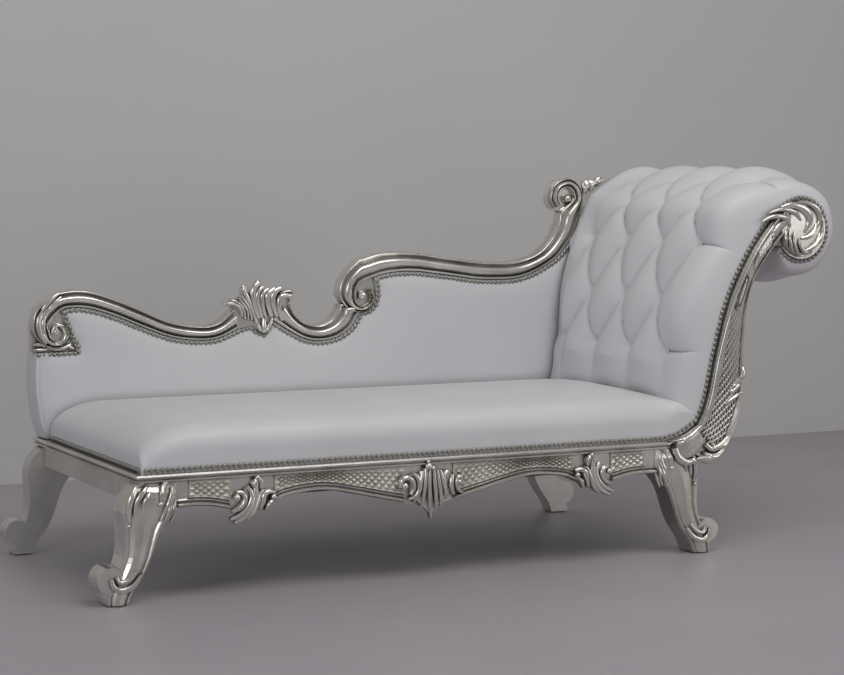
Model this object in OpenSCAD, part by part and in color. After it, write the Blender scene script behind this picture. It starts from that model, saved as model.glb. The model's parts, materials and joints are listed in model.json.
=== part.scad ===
// Chaise longue with a carved show frame, a low ogee back and a tufted rolled headrest.
// X runs along the seat to the headrest, Y from the front to the back, Z up from the floor.

/* [Seat frame] */
// Length of the seat frame over the leg blocks
frame_len = 1406; // [1250:1:1600]
// Depth of the frame from the front rail face to the back
frame_depth = 740; // [690:1:800]
// Height of the top of the seat rails above the floor
rail_top = 283; // [270:1:320]
// Height of the plain end and back rails
rail_h = 67; // [50:1:72]
// Thickness of every rail
rail_t = 30; // [22:1:36]
// Height of the moulding along the top of the rails
mould_h = 18; // [14:1:22]
// How far the moulding stands out from the rail face
mould_out = 12; // [8:1:15]

/* [Legs] */
// Width of the square block at the top of each leg
leg_w = 84; // [70:1:95]
// Thickness of a front leg behind its carved face
front_leg_t = 58; // [48:1:66]
// Thickness of a back leg
back_leg_t = 50; // [40:1:60]
// Height of the carving on the face of a front leg
leg_relief = 16; // [8:1:20]
// Radius of the scroll on the toe
toe_r = 30; // [24:1:34]
// Radius of the glide under each foot
glide_r = 15; // [10:1:20]
// Thickness of the glide under each foot
glide_h = 3; // [2:0.5:5]

/* [Joinery] */
// Diameter of the dowels between rails and legs
dowel_d = 8; // [6:1:10]
// Length of the dowels
dowel_len = 50; // [36:1:56]
// Side of the triangular corner blocks
block_leg = 70; // [55:1:90]
// Height of the corner blocks
block_h = 45; // [35:1:48]
// Shank diameter of the corner block screws
screw_d = 5; // [4:0.5:6]
// Length of the corner block screws
screw_len = 40; // [32:1:45]
// Gap left round a fitted piece
fit_gap = 0.3; // [0.2:0.05:0.5]

/* [Front apron] */
// Height of the rounded bead along the lower edge of the apron
bead_h = 15; // [10:1:18]
// How far the bead stands out
bead_out = 12; // [8:1:15]
// Pitch of the diamonds in the lattice
lattice_pitch = 18; // [14:1:24]
// Height of the diamonds above their ground
lattice_relief = 6; // [4:1:8]
// Width of the shell in the middle of the apron
centre_shell_w = 130; // [110:1:150]
// Width of the two side shells of the apron
side_shell_w = 96; // [80:1:110]
// Distance from the leg corner to the middle of a side shell
side_shell_x = 256; // [240:1:270]
// How far the shells stand out
shell_relief = 26; // [18:1:32]

/* [Seat] */
// Height of the seat cushion above the rails at its edges
seat_edge_h = 92; // [70:1:110]
// Extra height of the seat cushion in the middle
seat_crown = 30; // [10:1:45]
// Radius of the rounded top edges of the seat cushion
seat_round = 46; // [30:1:60]
// Length over which the seat rises at the foot end
seat_slope = 130; // [90:1:170]
// Distance from the rail face to the face of the cushion
seat_inset = 5; // [2:1:10]
// Thickness of the foam block inside the seat
seat_foam_t = 62; // [45:1:64]
// Width of one strap of webbing
strap_w = 50; // [40:1:60]
// Thickness of the webbing and of the cloths
cloth_t = 2; // [1.5:0.5:3]
// Number of straps that run from front to back
strap_count = 9; // [6:1:12]

/* [Back] */
// Thickness of the carved crest from its face to the back
crest_t = 95; // [85:1:105]
// Height of the carving on the crest
crest_relief = 22; // [14:1:26]
// Thickness of the timber behind the carved face of the crest
crest_board_t = 24; // [18:1:40]
// Distance the edge of the back pad lies behind the crest face
pad_set = 15; // [12:1:18]
// Thickness of the board inside the back
board_t = 14; // [9:1:20]
// Width of the posts that carry the crest
post_w = 48; // [40:1:56]
// Thickness of the leather of the outside back
leather_t = 3; // [2:0.5:4]
// Thickness of the foam inside the back pad
back_foam_t = 14; // [8:1:16]

/* [Headrest] */
// Thickness of the carved front frame of the headrest
facade_t = 42; // [32:1:50]
// Height of the carving on the headrest frame
facade_relief = 15; // [10:1:18]
// Radius of the round end of the headrest scroll
volute_r = 73; // [64:1:78]
// Height of the puffs between the sewn tufts
puff_h = 27; // [15:1:32]
// Distance between two tufts across the headrest
tuft_pitch = 165; // [150:1:175]
// Radius of the tuft buttons
button_r = 8; // [6:1:10]
// Thickness of the bent board under the headrest foam
deck_t = 8; // [6:1:10]
// Radius of the round core inside the roll
core_r = 60; // [48:1:62]

/* [Nails] */
// Diameter of a nail head
nail_d = 11; // [9:0.5:12]
// Height of a nail head
nail_h = 4.5; // [3:0.5:6]
// Distance from one nail to the next
nail_pitch = 13; // [12.5:0.5:20]

/* [Hidden] */

silver = "#b5b0a2";
plain_silver = "#9c978b";
white_leather = "#f0eff0";
wood = "#c8a878";
foam = "#efe3b0";
cloth = "#3a3a3c";
steel = "#8d9196";

// Extent of the whole piece, used to put its middle on the origin
toe_reach = 100;
roll_x = 1750;
roll_z = 795;
stretch_x = frame_len - 1406;

// Curves
function spline_at(p, i, t) =
    let (
        a = p[max(i - 1, 0)],
        b = p[i],
        c = p[min(i + 1, len(p) - 1)],
        d = p[min(i + 2, len(p) - 1)]
    )
    (2 * b + (c - a) * t + (2 * a - 5 * b + 4 * c - d) * t * t + (3 * b - a - 3 * c + d) * t * t * t) / 2;
function spline(p, n) =
    concat([for (i = [0:len(p) - 2]) for (k = [0:n - 1]) spline_at(p, i, k / n)], [p[len(p) - 1]]);
function at(p, s) =
    let (i = min(floor(s), len(p) - 2))
    spline_at(p, i, s - i);
function run(p) =
    [for (i = 0, s = 0; i < len(p); s = s + (i + 1 < len(p) ? norm(p[i + 1] - p[i]) : 0), i = i + 1) s];
function even(p, n) =
    let (
        s = run(p),
        tx = [for (i = [0:len(p) - 1]) [s[i], p[i].x]],
        tz = [for (i = [0:len(p) - 1]) [s[i], p[i].y]],
        whole = s[len(s) - 1]
    )
    [for (k = [0:n]) [lookup(whole * k / n, tx), lookup(whole * k / n, tz)]];
function reverse(p) = [for (i = [len(p) - 1:-1:0]) p[i]];
function unit(v) = v / max(norm(v), 0.001);
function turn(v) = [-v.y, v.x];
function normals(p) =
    [for (i = [0:len(p) - 1]) turn(unit(p[min(i + 1, len(p) - 1)] - p[max(i - 1, 0)]))];
function beside(p, d) = let (n = normals(p)) [for (i = [0:len(p) - 1]) p[i] + d * n[i]];
function inset(p, d) =
    let (m = len(p))
    [for (i = [0:m - 1])
        let (ahead = unit(p[(i + 1) % m] - p[i]), behind = unit(p[i] - p[(i + m - 1) % m]))
        p[i] + d * turn(unit(ahead + behind))];

// Closed solids from points, with their faces turned the right way
function fan_volume(p, f) =
    [for (k = [1:len(f) - 2]) p[f[0]] * cross(p[f[k]], p[f[k + 1]])];
function total(v) = v * [for (i = [0:len(v) - 1]) 1];
function wrong_way(p, faces) = total([for (f = faces) each fan_volume(p, f)]) > 0;
module solid(p, faces) {
    polyhedron(points = p, faces = wrong_way(p, faces) ? [for (f = faces) reverse(f)] : faces);
}
module loft(rings, ends = []) {
    m = len(rings[0]);
    n = len(rings);
    cap = len(ends) > 0 ? ends : [[for (j = [0:m - 1]) j]];
    solid(
        [for (r = rings) each r],
        concat(
            [for (i = [0:n - 2]) for (j = [0:m - 1])
                [i * m + j, i * m + (j + 1) % m, (i + 1) * m + (j + 1) % m]],
            [for (i = [0:n - 2]) for (j = [0:m - 1])
                [i * m + j, (i + 1) * m + (j + 1) % m, (i + 1) * m + j]],
            [for (c = cap) reverse(c)],
            [for (c = cap) [for (j = c) (n - 1) * m + j]]
        )
    );
}
// A carved sheet: a grid of front points over a flat back
module relief(g, back_y) {
    n = len(g);
    m = len(g[0]);
    rim = concat(
        [for (i = [0:n - 2]) i * m],
        [for (j = [0:m - 2]) (n - 1) * m + j],
        [for (i = [n - 1:-1:1]) i * m + m - 1],
        [for (j = [m - 1:-1:1]) j]
    );
    q = [for (r = g) each r];
    k = len(rim);
    solid(
        concat(q, [for (i = rim) [q[i].x, back_y, q[i].z]]),
        concat(
            [for (i = [0:n - 2]) for (j = [0:m - 2])
                let (p = i * m + j) (i + j) % 2 == 1 ? [p, p + m, p + m + 1] : [p, p + m, p + 1]],
            [for (i = [0:n - 2]) for (j = [0:m - 2])
                let (p = i * m + j) (i + j) % 2 == 1 ? [p, p + m + 1, p + 1] : [p + m, p + m + 1, p + 1]],
            [for (i = [0:k - 1]) [rim[(i + 1) % k], rim[i], n * m + i]],
            [for (i = [0:k - 1]) [rim[(i + 1) % k], n * m + i, n * m + (i + 1) % k]],
            [[for (i = [k - 1:-1:0]) n * m + i]]
        )
    );
}
// A band between two edges, flat behind and moulded in front
band_margin = 0.03;
function across(a, b, t) = a + (b - a) * (band_margin + (1 - 2 * band_margin) * t);
function band_point(a, b, t, y) = let (q = across(a, b, t)) [q.x, y, q.y];
module band(a, b, section, y0, high, back_y) {
    loft([
        for (i = [0:len(a) - 1])
            concat(
                [band_point(a[i], b[i], 0, back_y)],
                [for (s = section) band_point(a[i], b[i], s[0], y0 - high * s[1])],
                [band_point(a[i], b[i], 1, back_y)]
            )
    ]);
}
// An extruded board whose outline lies in X and Z, from one depth to another
module board(p, y0, y1) {
    translate([0, y1, 0])
        rotate([90, 0, 0])
            linear_extrude(height = y1 - y0) polygon(p);
}
module place() {
    pad_right = max([for (s = pad_s) for (y = pad_y) pad_point(s, y).x]);
    translate([(toe_reach - pad_right - stretch_x) / 2, (shell_relief - frame_depth) / 2, 0]) children();
}
module rod(from, direction, length, d) {
    translate(from)
        rotate([0, acos(unit(direction).z), atan2(direction.y, direction.x)])
            cylinder(h = length, d = d, $fn = 24);
}

// Leg shape, drawn for the front left corner
foot_z = glide_h;
knee_z = rail_top - mould_h - 3;
leg_outer = concat(
    [[0, rail_top], [0, knee_z]],
    spline([
        [-8, knee_z - 4], [-30, 235], [-41, 205], [-40, 165], [-38, 130], [-42, 100], [-56, 66], [-74, 34],
        [-78, foot_z]
    ], 2)
);
leg_inner = concat(
    [[leg_w, rail_top]],
    spline([
        [leg_w, rail_top - rail_h - 4], [62, 185], [45, 160], [32, 125], [20, 92], [4, 62], [-18, 33],
        [-30, foot_z]
    ], 3)
);
toe_c = [-toe_reach + toe_r, 56];
foot_mid = -54;
leg_section = [
    [0, 0.1], [0.04, 0.55], [0.11, 0.6], [0.16, 0.4], [0.3, 0.82], [0.5, 1],
    [0.7, 0.82], [0.84, 0.4], [0.89, 0.6], [0.96, 0.55], [1, 0.1]
];
leg_rings = 22;

module leg_outline() {
    polygon(concat(leg_outer, reverse(leg_inner)));
    intersection() {
        translate(toe_c) circle(r = toe_r, $fn = 40);
        translate([-toe_reach, 0]) square([toe_reach, 90]);
    }
}
module plain_leg(y0, y1) {
    translate([0, y1, 0]) rotate([90, 0, 0]) linear_extrude(height = y1 - y0) leg_outline();
}
module carved_leg() {
    a = even(leg_outer, leg_rings);
    b = even(leg_inner, leg_rings);
    rings = [
        for (i = [0:leg_rings])
            let (high = a[i].y > knee_z - 1 ? 0 : leg_relief * min(1, (knee_z - a[i].y) / 14))
            concat(
                [[a[i].x, front_leg_t, a[i].y]],
                [for (s = leg_section)
                    let (q = a[i] + (b[i] - a[i]) * s[0]) [q.x, -high * s[1], q.y]],
                [[b[i].x, front_leg_t, b[i].y]]
            )
    ];
    loft(rings);
    translate([toe_c.x, front_leg_t - 1, toe_c.y])
        rotate([90, 0, 0])
            cylinder(r = toe_r, h = front_leg_t + leg_relief * 0.5, $fn = 40);
}
module at_right() {
    translate([frame_len, 0, 0]) mirror([1, 0, 0]) children();
}

// Dowels: two at every joint of a rail with a leg
dowel_z = [rail_top - 20, rail_top - 48];
front_rail_y = rail_t / 2;
back_face = frame_depth - leather_t - 2;
back_rail_y = back_face - rail_t / 2;
end_rail_x = rail_t / 2;
back_block_y = back_face - back_leg_t;
module dowels() {
    for (z = dowel_z) {
        for (y = [front_rail_y, back_rail_y]) {
            rod([leg_w - dowel_len / 2, y, z], [1, 0, 0], dowel_len, dowel_d);
            rod([frame_len - leg_w - dowel_len / 2, y, z], [1, 0, 0], dowel_len, dowel_d);
        }
        for (x = [end_rail_x, frame_len - end_rail_x]) {
            rod([x, front_leg_t - dowel_len / 2, z - 12], [0, 1, 0], dowel_len, dowel_d);
            rod([x, back_block_y - dowel_len / 2, z - 12], [0, 1, 0], dowel_len, dowel_d);
        }
    }
}

// Seat frame
mid = frame_len / 2;
mould_z = rail_top - mould_h;
half_edge = [
    [leg_w, rail_top - 77], [150, rail_top - 77], [side_shell_x - 42, rail_top - 90],
    [side_shell_x, rail_top - 104], [side_shell_x + 42, rail_top - 86], [side_shell_x + 90, rail_top - 68],
    [mid - 268, rail_top - 61], [mid - 190, rail_top - 75], [mid - 125, rail_top - 90],
    [mid - 60, rail_top - 104], [mid, rail_top - 116]
];
other_half = [for (i = [len(half_edge) - 2:-1:0]) [frame_len - half_edge[i].x, half_edge[i].y]];
apron_edge = spline(concat(half_edge, other_half), 4);
function apron_z(x) = lookup(x, apron_edge);
bead_band = bead_h + 4;

module front_rail() {
    color(silver) place() difference() {
        board(concat(apron_edge, [[frame_len - leg_w, rail_top], [leg_w, rail_top]]), 0, rail_t);
        dowels();
        corner_screws();
    }
}
module end_rail(x) {
    difference() {
        translate([x, front_leg_t, rail_top - rail_h])
            cube([rail_t, back_block_y - front_leg_t, rail_h]);
        dowels();
        corner_screws();
    }
}
module left_end_rail() {
    color(plain_silver) place() end_rail(0);
}
module right_end_rail() {
    color(wood) place() end_rail(frame_len - rail_t);
}
module back_rail() {
    color(wood) place() difference() {
        translate([leg_w, back_face - rail_t, rail_top - rail_h])
            cube([frame_len - 2 * leg_w, rail_t, rail_h]);
        dowels();
        corner_screws();
    }
}
module front_left_leg() {
    color(silver) place() difference() {
        carved_leg();
        dowels();
    }
}
module front_right_leg() {
    color(silver) place() difference() {
        at_right() carved_leg();
        dowels();
    }
}
module back_left_leg() {
    color(plain_silver) place() difference() {
        plain_leg(back_block_y, back_face);
        dowels();
    }
}
module back_right_leg() {
    color(plain_silver) place() difference() {
        at_right() plain_leg(back_block_y, back_face);
        dowels();
    }
}

// Corner blocks hug the inner corner of each leg and are screwed to both rails
block_z = rail_top - 15 - block_h;
screw_z = block_z + block_h / 2;
module block_outline(leg_t) {
    polygon([
        [leg_w + fit_gap, rail_t], [leg_w + block_leg, rail_t],
        [rail_t, leg_t + block_leg], [rail_t, leg_t + fit_gap], [leg_w + fit_gap, leg_t + fit_gap]
    ]);
}
module four_corners() {
    for (right = [0, 1]) {
        translate([right * frame_len, 0, 0]) mirror([right, 0, 0]) {
            children(0);
            translate([0, back_face, 0]) mirror([0, 1, 0]) children(1);
        }
    }
}
module screw(p, direction) {
    rod(p, direction, screw_len, screw_d);
    rod(p, direction, screw_d / 2, 2 * screw_d);
}
module corner_pair(leg_t) {
    reach = rail_t + screw_len - rail_t * 0.45;
    screw([leg_w + block_leg * 0.42, reach, screw_z], [0, -1, 0]);
    screw([reach, leg_t + block_leg * 0.62, screw_z], [-1, 0, 0]);
}
module corner_screws() {
    four_corners() {
        corner_pair(front_leg_t);
        corner_pair(back_leg_t);
    }
}
module corner_blocks() {
    color(wood) place() difference() {
        four_corners() {
            translate([0, 0, block_z]) linear_extrude(height = block_h) block_outline(front_leg_t);
            translate([0, 0, block_z]) linear_extrude(height = block_h) block_outline(back_leg_t);
        }
        corner_screws();
    }
}
module corner_block_screws() {
    color(steel) place() corner_screws();
}
module leg_dowels() {
    color(wood) place() dowels();
}
module foot_glides() {
    color(cloth) place()
        for (x = [foot_mid, frame_len - foot_mid], y = [front_leg_t / 2, back_block_y + back_leg_t / 2])
            translate([x, y, 0]) cylinder(r = glide_r, h = glide_h, $fn = 40);
}

// Moulding along the top of the front and the left end, mitred at the corner
mould_section = [
    [0, 0], [0.45, 0], [0.82, 0.1], [0.85, 0.28], [0.58, 0.38], [0.58, 0.5],
    [0.95, 0.58], [1, 0.75], [0.85, 0.94], [0.5, 1], [0, 1]
];
facade_start = frame_len - 53;
module rail_moulding() {
    outline = [for (s = mould_section) [-s[0] * mould_out, mould_z + s[1] * mould_h]];
    cut = 2 * mould_out;
    color(silver) place() {
        difference() {
            translate([-mould_out, 0, 0]) rotate([90, 0, 90])
                linear_extrude(height = facade_start + mould_out) polygon(outline);
            translate([0, 0, mould_z - 1]) linear_extrude(height = mould_h + 2)
                polygon([[-cut, -cut], [0, 0], [-cut, 0]]);
        }
        difference() {
            board(outline, -mould_out, back_face);
            translate([0, 0, mould_z - 1]) linear_extrude(height = mould_h + 2)
                polygon([[-cut, -cut], [0, 0], [0, -cut]]);
        }
    }
}

// Rounded bead and thin fillet along the serpentine edge, between the shells
bead_section = [
    [0, 0.1], [0.06, 0.6], [0.2, 1], [0.38, 1], [0.52, 0.6], [0.58, 0.15],
    [0.7, 0.15], [0.76, 0.5], [0.88, 0.55], [1, 0.1]
];
bead_rings = 12;
shell_gap = 1;
bead_runs = [
    [leg_w, side_shell_x - side_shell_w / 2 - shell_gap],
    [side_shell_x + side_shell_w / 2 + shell_gap, mid - centre_shell_w / 2 - shell_gap]
];
module both_sides() {
    children();
    at_right() children();
}
module apron_bead() {
    color(silver) place() both_sides()
        for (r = bead_runs) {
            n = r == bead_runs[0] ? 7 : bead_rings;
            x = [for (i = [0:n]) r[0] + (r[1] - r[0]) * i / n];
            band(
                [for (q = x) [q, apron_z(q)]],
                [for (q = x) [q, apron_z(q) + bead_band]],
                bead_section, 0, bead_out, 0
            );
        }
}

// Diamond lattice: a grid whose corners stand high and low in turn
lattice_rows = 6;
lattice_ground = 1;
lattice_border = 3;
function lattice_height(i, j, last_i, last_j, odd) =
    i == 0 || j == 0 || i == last_i || j == last_j ? lattice_border : odd ? lattice_ground : lattice_relief;
lattice_runs = [
    [leg_w + 28, side_shell_x - side_shell_w / 2 + 2],
    [side_shell_x + side_shell_w / 2 + 12, mid - centre_shell_w / 2 + 2]
];
module apron_lattice() {
    color(silver) place() both_sides()
        for (r = lattice_runs) {
            n = 2 * round((r[1] - r[0]) / lattice_pitch);
            relief(
                [for (i = [0:n])
                    let (x = r[0] + (r[1] - r[0]) * i / n, low = apron_z(x) + bead_band + shell_gap)
                    [for (j = [0:lattice_rows])
                        [x, -lattice_height(i, j, n, lattice_rows, (i + j) % 2 == 1),
                            low + (mould_z - shell_gap - low) * j / lattice_rows]]],
                0
            );
        }
}

// A carved shell: lobes that fan out from a root line to a tip line
shell_profile = [[0, 0.4], [0.2, 0.72], [0.4, 0.94], [0.5, 1], [0.6, 1], [0.8, 0.85], [1, 0.35]];
module palmette(root, tip, lobes, y0, high, back_y, rows) {
    n = 3 * lobes;
    a = even(root, n);
    b = even(tip, n);
    relief(
        [for (j = [0:n])
            let (swell = abs(sin(60 * j)) / sin(60))
            [for (k = [0:rows])
                let (
                    t = k / rows,
                    rise = lookup(t, shell_profile) * (0.35 + 0.65 * swell),
                    q = a[j] + (b[j] - a[j]) * t * (0.93 + 0.07 * swell)
                )
                [q.x, y0 - high * rise, q.y]]],
        back_y
    );
}
module apron_shell(x, w, top, drop, lobes) {
    tip = spline([
        [x - w / 2, top - drop * 0.42], [x - w * 0.4, top - drop * 0.68], [x - w * 0.2, top - drop * 0.84],
        [x, top - drop], [x + w * 0.2, top - drop * 0.84], [x + w * 0.4, top - drop * 0.68],
        [x + w / 2, top - drop * 0.42]
    ], 3);
    root = [[x - w * 0.12, top - 4], [x, top], [x + w * 0.12, top - 4]];
    palmette(root, tip, lobes, 0, shell_relief, 0, 7);
}
module apron_shell_left() {
    color(silver) place()
        apron_shell(side_shell_x, side_shell_w, mould_z - 10, 92, 6);
}
module apron_shell_right() {
    color(silver) place() at_right()
        apron_shell(side_shell_x, side_shell_w, mould_z - 10, 92, 6);
}
module apron_shell_centre() {
    color(silver) place()
        apron_shell(mid, centre_shell_w, mould_z - 1, 122, 8);
}

// Headrest: the line the frame follows and the line of the sewn tufts, in pairs
lift = rail_top - 283;
roll_c = [roll_x, roll_z];
line_r = volute_r + 2;
tuft_r = 126;
function on_roll(r, a) = roll_c + r * [cos(a), sin(a)];
base_line = [
    [1446, 322], [1471, 379], [1499, 501], [1535, 624], [1588, 728], [1648, 808],
    on_roll(line_r, 118), on_roll(line_r, 78), on_roll(line_r, 36), on_roll(line_r, -10),
    on_roll(line_r, -58), on_roll(line_r, -104), on_roll(line_r, -145)
];
tuft_line = [
    [1398, 390], [1402, 430], [1412, 495], [1445, 622], [1505, 761], [1562, 853],
    [1675, 914], on_roll(tuft_r, 85), on_roll(tuft_r + 4, 40), on_roll(tuft_r, -8),
    on_roll(tuft_r, -58), on_roll(tuft_r - 8, -104), on_roll(86, -140)
];
last_s = len(base_line) - 1;
back_line = spline([
    [1506, 230], [1556, 300], [1576, 374], [1574, 499], [1579, 600], [1600, 668], [1640, 728], [1690, 776]
], 4);
start_line = spline([[1353, 283], [1402, 296], base_line[0]], 3);
step = 1 / 2;
deck_line = [for (s = [0:step:last_s]) at(base_line, s)];
crest_y = frame_depth - crest_t;
pad_y0 = 4;
pad_y1 = crest_y - 1;
back_frame_y0 = crest_y + 5;
module headrest() {
    place() translate([stretch_x, 0, lift]) children();
}
module side_outline() {
    difference() {
        polygon(concat(
            start_line, [for (s = [step:step:6.5]) at(base_line, s)],
            [roll_c], reverse(back_line), [[1470, 217], [1436, 222]]
        ));
        translate([frame_len - stretch_x, -lift]) mirror([1, 0]) leg_outline();
    }
}
arm_section = [
    [0, 0.2], [0.05, 0.8], [0.13, 0.85], [0.2, 0.3], [0.34, 0.75], [0.5, 0.93],
    [0.66, 0.75], [0.8, 0.3], [0.87, 0.85], [0.95, 0.8], [1, 0.2]
];
arm_from = concat(moved(start_line, [0, fit_gap]), [for (s = [0.5:0.25:6]) at(base_line, s)]);
arm_to = spline([
    [1407, 284], [1413, 263], [1448, 236], [1506, 230], [1556, 300], [1576, 374], [1574, 499], [1579, 600],
    [1600, 668], [1640, 728], [1676, 768], [1700, 792]
], 4);
arm_rings = 36;
neck_ring = 28;
facade_proud = 2;
field_high = facade_proud + 1;
arm_a = even(arm_from, arm_rings);
arm_b = even(arm_to, arm_rings);
module headrest_front_frame() {
    color(silver) headrest() {
        loft([
            for (i = [0:arm_rings])
                concat(
                    [band_point(arm_a[i], arm_b[i], 0, facade_t)],
                    [for (s = arm_section)
                        let (
                            field = s[0] > 0.15 && s[0] < 0.85 && i <= neck_ring,
                            high = field ? field_high : facade_proud + facade_relief * s[1]
                        )
                        band_point(arm_a[i], arm_b[i], s[0], -high)],
                    [band_point(arm_a[i], arm_b[i], 1, facade_t)]
                )
        ]);
        translate([roll_c.x, facade_t - 1, roll_c.y]) rotate([90, 0, 0])
            cylinder(r = volute_r, h = facade_t - 1 + facade_proud, $fn = 64);
    }
}

// Lattice, cartouche and rosette on the face of the headrest frame
field_y = -field_high;
field_from = 6;
field_steps = 26;
field_cells = 4;
field_edge = 0.22;
module headrest_lattice() {
    color(silver) headrest() relief(
        [for (k = [0:field_steps])
            let (
                a = at(arm_a, field_from + k / 2),
                b = at(arm_b, field_from + k / 2)
            )
            [for (j = [0:field_cells])
                let (q = a + (b - a) * (field_edge + (1 - 2 * field_edge) * j / field_cells))
                [q.x, field_y - lattice_height(k, j, field_steps, field_cells, (k + j) % 2 == 1), q.y]]],
        field_y
    );
}
cartouche_c = [1567, 643];
cartouche_tilt = 20;
function oval(a, b, n) =
    [for (k = [0:n - 1])
        let (t = 360 * k / n, x = a * cos(t), z = b * sin(t))
        cartouche_c + x * [cos(cartouche_tilt), -sin(cartouche_tilt)]
            + z * [sin(cartouche_tilt), cos(cartouche_tilt)]];
function flat(p, y) = [for (q = p) [q.x, y, q.y]];
module headrest_cartouche() {
    n = 24;
    color(silver) headrest() loft([
        flat(oval(11, 47, n), field_y),
        flat(oval(11, 47, n), field_y - 8),
        flat(oval(8.5, 43, n), field_y - 13),
        flat(oval(6, 39, n), field_y - 8),
        flat(oval(5, 37, n), field_y - 8.5),
        flat(oval(3, 30, n), field_y - 12)
    ]);
}
rosette_lobes = 8;
rosette_swirl = 95;
module headrest_rosette() {
    n = rosette_lobes * 5;
    r0 = volute_r - 6;
    levels = [[1, 0], [1, 0.45], [0.9, 0.8], [0.72, 1], [0.52, 0.9], [0.34, 0.7], [0.2, 0.75], [0.1, 1]];
    color(silver) headrest() loft([
        for (v = levels)
            [for (k = [0:n - 1])
                let (
                    t = 360 * k / n + rosette_swirl * v[0],
                    ridge = 0.55 + 0.45 * abs(sin(180 * k / 5)),
                    q = roll_c + r0 * v[0] * [cos(t), sin(t)]
                )
                [q.x, -facade_proud - (facade_relief + 3) * v[1] * (v[0] < 0.15 ? 1 : ridge), q.y]]
    ]);
}

// Board that closes the back end of the headrest, a little inside the pad
back_frame_in = 22;
module headrest_back_frame() {
    color(plain_silver) headrest() translate([0, back_face, 0]) rotate([90, 0, 0])
        linear_extrude(height = back_face - back_frame_y0) {
            side_outline();
            polygon(concat(
                [for (s = [4.75:0.25:11])
                    at(base_line, s) + pad_dir(s) * (lookup(s, edge_out) - back_frame_in)],
                [on_roll(line_r, -140), [1640, 728]], [base_line[4]]
            ));
        }
}
rail_square = 28;
cross_rail_at = [[1488, 258, 0], [1537, 490, 0], [1601, 700, 30]];
module headrest_cross_rails() {
    color(wood) headrest() for (q = cross_rail_at)
        translate([q[0], facade_t, q[1]]) rotate([0, q[2], 0])
            translate([-rail_square / 2, 0, -rail_square / 2])
                cube([rail_square, back_frame_y0 - facade_t, rail_square]);
}
module headrest_deck() {
    color(wood) headrest()
        board(concat(deck_line, reverse(beside(deck_line, -deck_t))), facade_t, back_frame_y0);
}
module headrest_roll_core() {
    color(foam) headrest()
        translate([roll_c.x, back_frame_y0, roll_c.y]) rotate([90, 0, 0])
            cylinder(r = core_r, h = back_frame_y0 - facade_t, $fn = 64);
}
cover_line = [for (q = back_line) if (q.y > 232 && q.y < 765) q];
module headrest_outside_cover() {
    color(white_leather) headrest()
        board(concat(cover_line, reverse(beside(cover_line, -leather_t))), facade_t, back_frame_y0);
}

// Tufted pad of the headrest: rings across the depth, puffs between the tufts
first_tuft = 92;
tuft_rows = [2, 6];
tuft_cols = 3;
flange = nail_d + 2;
function clamp(x, a, b) = max(a, min(b, x));
function puff(s, y) =
    let (
        r = clamp(s - tuft_rows[0], 0, tuft_rows[1] - tuft_rows[0]),
        c = clamp((y - first_tuft) / tuft_pitch, 0, tuft_cols)
    )
    sqrt(abs(sin(180 * (c + r / 2)) * sin(180 * (c - r / 2))));
function front_rise(y) =
    let (v = clamp((y - pad_y0) / (first_tuft - pad_y0), 0, 1))
    sqrt(1 - pow(1 - v, 3));
last_tuft = first_tuft + tuft_cols * tuft_pitch;
// Height of the pad where it meets the crest, along the base line
edge_out = [
    [0, 64], [1, 74], [2, 72], [3, 101], [4, 117], [5, 138], [6, 101], [7, 66], [8, 54], [9, 46],
    [10, 36], [11, 24], [12, 12]
];
function back_part(y) = let (w = clamp((y - last_tuft) / (pad_y1 - last_tuft), 0, 1)) w * w * (3 - 2 * w);
function pad_out(s, y) =
    let (
        gap = norm(at(tuft_line, s) - at(base_line, s)),
        fade = 1 - 0.3 * clamp((s - 7) / 3, 0, 1),
        whole = gap + puff_h * fade * puff(s, y)
    )
    (flange + (whole - flange) * front_rise(y)) * (1 - back_part(y)) + lookup(s, edge_out) * back_part(y);
function pad_dir(s) = unit(at(tuft_line, s) - at(base_line, s));
function pad_point(s, y) = at(base_line, s) + pad_dir(s) * pad_out(s, y);
pad_s = concat([0, 1], [for (s = [2:0.25:6]) s], [for (s = [6.5:0.5:last_s]) s]);
pad_y = concat(
    [pad_y0, pad_y0 + 8, pad_y0 + 26, pad_y0 + 54],
    [for (c = [0:0.25:tuft_cols]) first_tuft + c * tuft_pitch],
    [for (t = [0.35, 0.7, 1]) last_tuft + (pad_y1 - last_tuft) * t]
);
pad_back = beside(deck_line, fit_gap);
// The ends of the pad are closed in slices between its face and its back
function back_point(s) = len(pad_s) + len(pad_back) - 1 - round(s / step);
pad_ends = [
    for (i = [0:len(pad_s) - 2])
        concat([i, i + 1], [for (j = [back_point(pad_s[i + 1]):back_point(pad_s[i])]) j])
];
module headrest_cover() {
    color(white_leather) headrest() loft([
        for (y = pad_y)
            concat(
                [for (s = pad_s) let (q = pad_point(s, y)) [q.x, y, q.y]],
                [for (q = reverse(pad_back)) [q.x, y, q.y]]
            )
    ], pad_ends);
}
button_cone = 0.9;
module tuft_buttons() {
    color(white_leather) headrest()
        for (s = [tuft_rows[0]:tuft_rows[1]])
            for (c = [s % 2 == 0 ? 0 : 0.5:1:tuft_cols]) {
                y = first_tuft + c * tuft_pitch;
                q = pad_point(s, y);
                d = pad_dir(s);
                translate([q.x, y, q.y]) rotate([0, atan2(d.x, d.y), 0]) {
                    translate([0, 0, fit_gap])
                        cylinder(r1 = 0.5, r2 = button_r, h = button_r * button_cone, $fn = 24);
                    translate([0, 0, fit_gap + button_r * button_cone])
                        cylinder(r1 = button_r, r2 = button_r * 0.6, h = button_r * 0.45, $fn = 24);
                }
            }
}

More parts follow.
